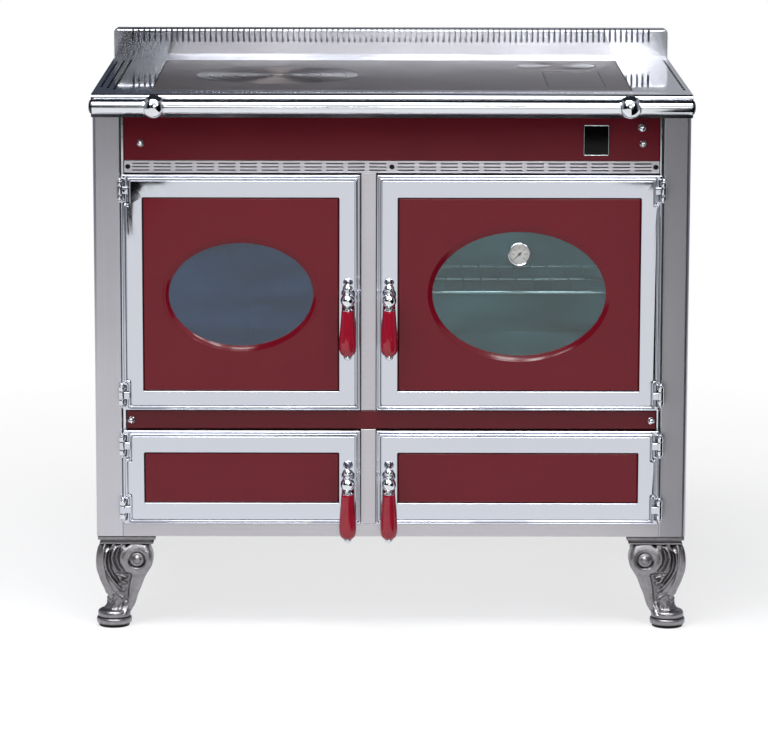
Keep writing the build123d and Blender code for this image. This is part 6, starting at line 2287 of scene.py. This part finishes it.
@dataclass(frozen=True)
class Studio:
    """A white studio with a pale floor, soft lamps, and cards for the bright plating to mirror."""

    floor_size: float = 80.0
    floor_level: float = -0.0005
    floor_glow: float = 0.7
    floor_fade: Span = (0.7, 2.2)
    world_level: str = "8A8C91"
    lamps: tuple[Lamp, ...] = (
        Lamp("overhead", (-0.4, -1.4, 3.2), (0, -0.1, 0.6), (2.4, 1.2), 110),
        Lamp("front_left", (-2.2, -3.2, 3), (0, 0, 0.5), (0.8, 1.2), 26),
        Lamp("front_right", (2.4, -3.6, 3), (0, 0, 0.6), (0.8, 1.2), 24))
    cards: tuple[Card, ...] = (
        Card("wall_behind", (0, 3.4, 1.25), (7.4, 2.5), (0, -1, 0), "464B56", "A6A8AE", fade=(-0.7, 0.7)),
        Card("wall_behind_high", (0, 3.4, 3.6), (7.4, 2.2), (0, -1, 0), "0B0C10"),
        Card("ceiling", (0, 1, 4.6), (7.4, 5), (0, 0, -1), "2C2E34"),
        Card("wall_behind_camera", (0, -9.6, 1.05), (12, 2.1), (0, 1, 0), "1B1C21"),
        Card("wall_left", (-3.6, -1.4, 2.2), (10, 4.4), (1, 0, 0), "131418", "9A9DA4", fade=(-0.8, 0.8)),
        Card("wall_right", (3.4, -1.4, 2.2), (10, 4.4), (-1, 0, 0), "9A9DA4", "0C0D10", fade=(-0.8, 0.8)),
        Card("dark_upper_left", (-2.3, -8.6, 3.4), (4.6, 3), (0, 1, 0), "E6E8EC", "14161C",
             fade=(-2.2, -1.1)),
        Card("low_window", (0.7, -9.3, 1.25), (2.4, 0.4), (0, 1, 0), "FFFFFF", strength=5.0),
        Card("softbox_right", (0.58, -5, 1.72), (0.34, 0.22), (0, 1, 0), "FFFFFF", strength=24.0),
        Card("softbox_middle", (0.13, -5, 1.87), (0.26, 0.22), (0, 1, 0), "FFFFFF", strength=24.0),
        Card("softbox_left", (-0.42, -5, 1.94), (0.42, 0.2), (0, 1, 0), "FFFFFF", strength=20.0),
        Card("floor_dark_left", (0, 0, 0.003), (4, 4), (0, 0, 1), "08090C", outline=(
            (-0.95, -6.7), (-0.66, -6.7), (-0.69, -6.12), (-0.75, -6.05), (-0.745, -5.6), (-0.725, -5.05),
            (-0.78, -5), (-0.86, -5.6), (-0.95, -6.3))),
        Card("floor_dark_right", (0, 0, 0.003), (4, 4), (0, 0, 1), "08090C", outline=(
            (0.72, -6.25), (0.742, -6.16), (0.80, -6.06), (0.86, -6.02), (0.88, -6.3))),
        Card("floor_dark_beside", (0, 0, 0.003), (4, 4), (0, 0, 1), "0A0B0E", outline=(
            (0.50, -0.6), (0.539, -1.24), (0.731, -3.84), (0.939, -6.67), (1.05, -8), (3.4, -8),
            (3.4, -0.6))),
        Card("floor_dark_far", (0, -8.5, 0.002), (5, 2.6), (0, 0, 1), "101116"))

    def light_rays(self, tree: Tree) -> Socket:
        """Gives 1 for the rays that show the background: from the camera, from a mirror or through glass.

        Args:
            tree: the node tree that it is worked out in.

        Returns:
            The socket that gives 1 or 0.
        """
        path = add_node(tree, "LightPath")
        seen = path.outputs["Is Camera Ray"]
        for ray in ("Is Glossy Ray", "Is Transmission Ray"):
            both = {0: seen, 1: path.outputs[ray]}
            seen = add_node(tree, "Math", both, operation="MAXIMUM").outputs[0]
        return seen

    def build_world(self) -> None:
        """Makes the world: white where it is seen, and a pale grey light on the stove."""
        world = bpy.data.worlds.new("studio")
        bpy.context.scene.world = world
        world.use_nodes = True
        tree = world.node_tree
        tree.nodes.clear()
        colour = add_node(tree, "Mix", {
            MIX_SHARE: self.light_rays(tree), MIX_FIRST: linear(self.world_level),
            MIX_SECOND: linear("FFFFFF")}, data_type="RGBA").outputs[MIX_RESULT]
        sky = add_node(tree, "Background", {"Color": colour, "Strength": 1.0})
        add_node(tree, "OutputWorld", {"Surface": sky.outputs[0]})

    def build_floor(self) -> None:
        """Makes the pale floor, which keeps the stove's shadow."""
        mesh = bmesh.new()
        bmesh.ops.create_grid(mesh, x_segments=1, y_segments=1, size=self.floor_size / 2)
        floor = in_scene(mesh, "studio_floor")
        floor.location.z = self.floor_level
        tree = bare_material(floor)
        paper = add_node(tree, "BsdfDiffuse", {"Color": linear("F4F4F6")})
        glow = add_node(tree, "Emission", {"Color": linear("FFFFFF"), "Strength": 1.0})
        where = add_node(tree, "TexCoord").outputs["Object"]
        far = add_node(tree, "VectorMath", {0: where}, operation="LENGTH").outputs["Value"]
        near, away = self.floor_fade
        whiter = add_node(tree, "MapRange", {"Value": far, "From Min": near, "From Max": away,
                                             "To Min": self.floor_glow, "To Max": 1.0})
        share = add_node(tree, "Math", {0: self.light_rays(tree), 1: whiter.outputs[0]},
                         operation="MULTIPLY").outputs[0]
        both = add_node(tree, "MixShader", {0: share, 1: paper.outputs[0], 2: glow.outputs[0]})
        add_node(tree, "OutputMaterial", {"Surface": both.outputs[0]})

    def build(self) -> None:
        """Makes the world, the floor, the lamps and the cards."""
        self.build_world()
        self.build_floor()
        for thing in (*self.lamps, *self.cards):
            thing.build()
        log.info("studio: %d lamps, %d cards", len(self.lamps), len(self.cards))


@dataclass(frozen=True)
class Camera:
    """The camera of the reference photograph: its place, the way it looks, and its lens."""

    place: Point3 = (-0.02636, -7.03221, 1.64469)
    pitch: float = 0.17546
    yaw: float = 0.00205
    roll: float = 0.00192
    lens: float = 190.35

    def build(self) -> None:
        """Makes the camera and gives it to the scene."""
        data = bpy.data.cameras.new("photo_camera")
        data.sensor_width = 36.0
        data.sensor_fit = "HORIZONTAL"
        data.lens = self.lens
        data.clip_start, data.clip_end = 0.1, 200.0
        camera = bpy.data.objects.new("photo_camera", data)
        bpy.context.scene.collection.objects.link(camera)
        ahead = Vector((math.sin(self.yaw) * math.cos(self.pitch), math.cos(self.yaw) * math.cos(self.pitch),
                        -math.sin(self.pitch)))
        right = Vector((math.cos(self.yaw), -math.sin(self.yaw), 0))
        up = right.cross(ahead)
        across = right * math.cos(self.roll) + up * math.sin(self.roll)
        over = up * math.cos(self.roll) - right * math.sin(self.roll)
        turn = Matrix((across, over, -ahead)).transposed().to_4x4()
        camera.matrix_world = Matrix.Translation(self.place) @ turn
        bpy.context.scene.camera = camera


DOORS = (
    Door("firebox", (-452.5, -52), (380.5, 779.5), -1, (34.5, 38.5), (-73.3, 573.7), FIRE_GLASS,
         Window((-252.25, 578), (121, 87), (127, 97))),
    Door("oven", (-25.4, 452.5), (380.5, 779.5), 1, (34.5, 38.5), (-4.1, 573.7), OVEN_GLASS,
         Window((213.55, 579.5), (145.3, 104.7), (153.5, 115.8))),
    Door("ash", (-452.5, -52), (184.5, 345.2), -1, (38.5, 37.7), (-73.3, 260.95)),
    Door("store", (-25.4, 452.5), (184.5, 345.2), 1, (38.5, 37.7), (-4.1, 260.95)))


def main() -> None:
    """Builds the stove, its studio and its camera."""
    logging.basicConfig(level=logging.INFO, format="%(message)s")
    bpy.context.scene.view_settings.view_transform = "Standard"
    stove = (Casing(), Top(), Rail(), Damper(), *DOORS, Thermometer(), Inside(), Leg())
    for thing in (*stove, Studio(), Camera()):
        thing.build()


if __name__ == "__main__":
    main()
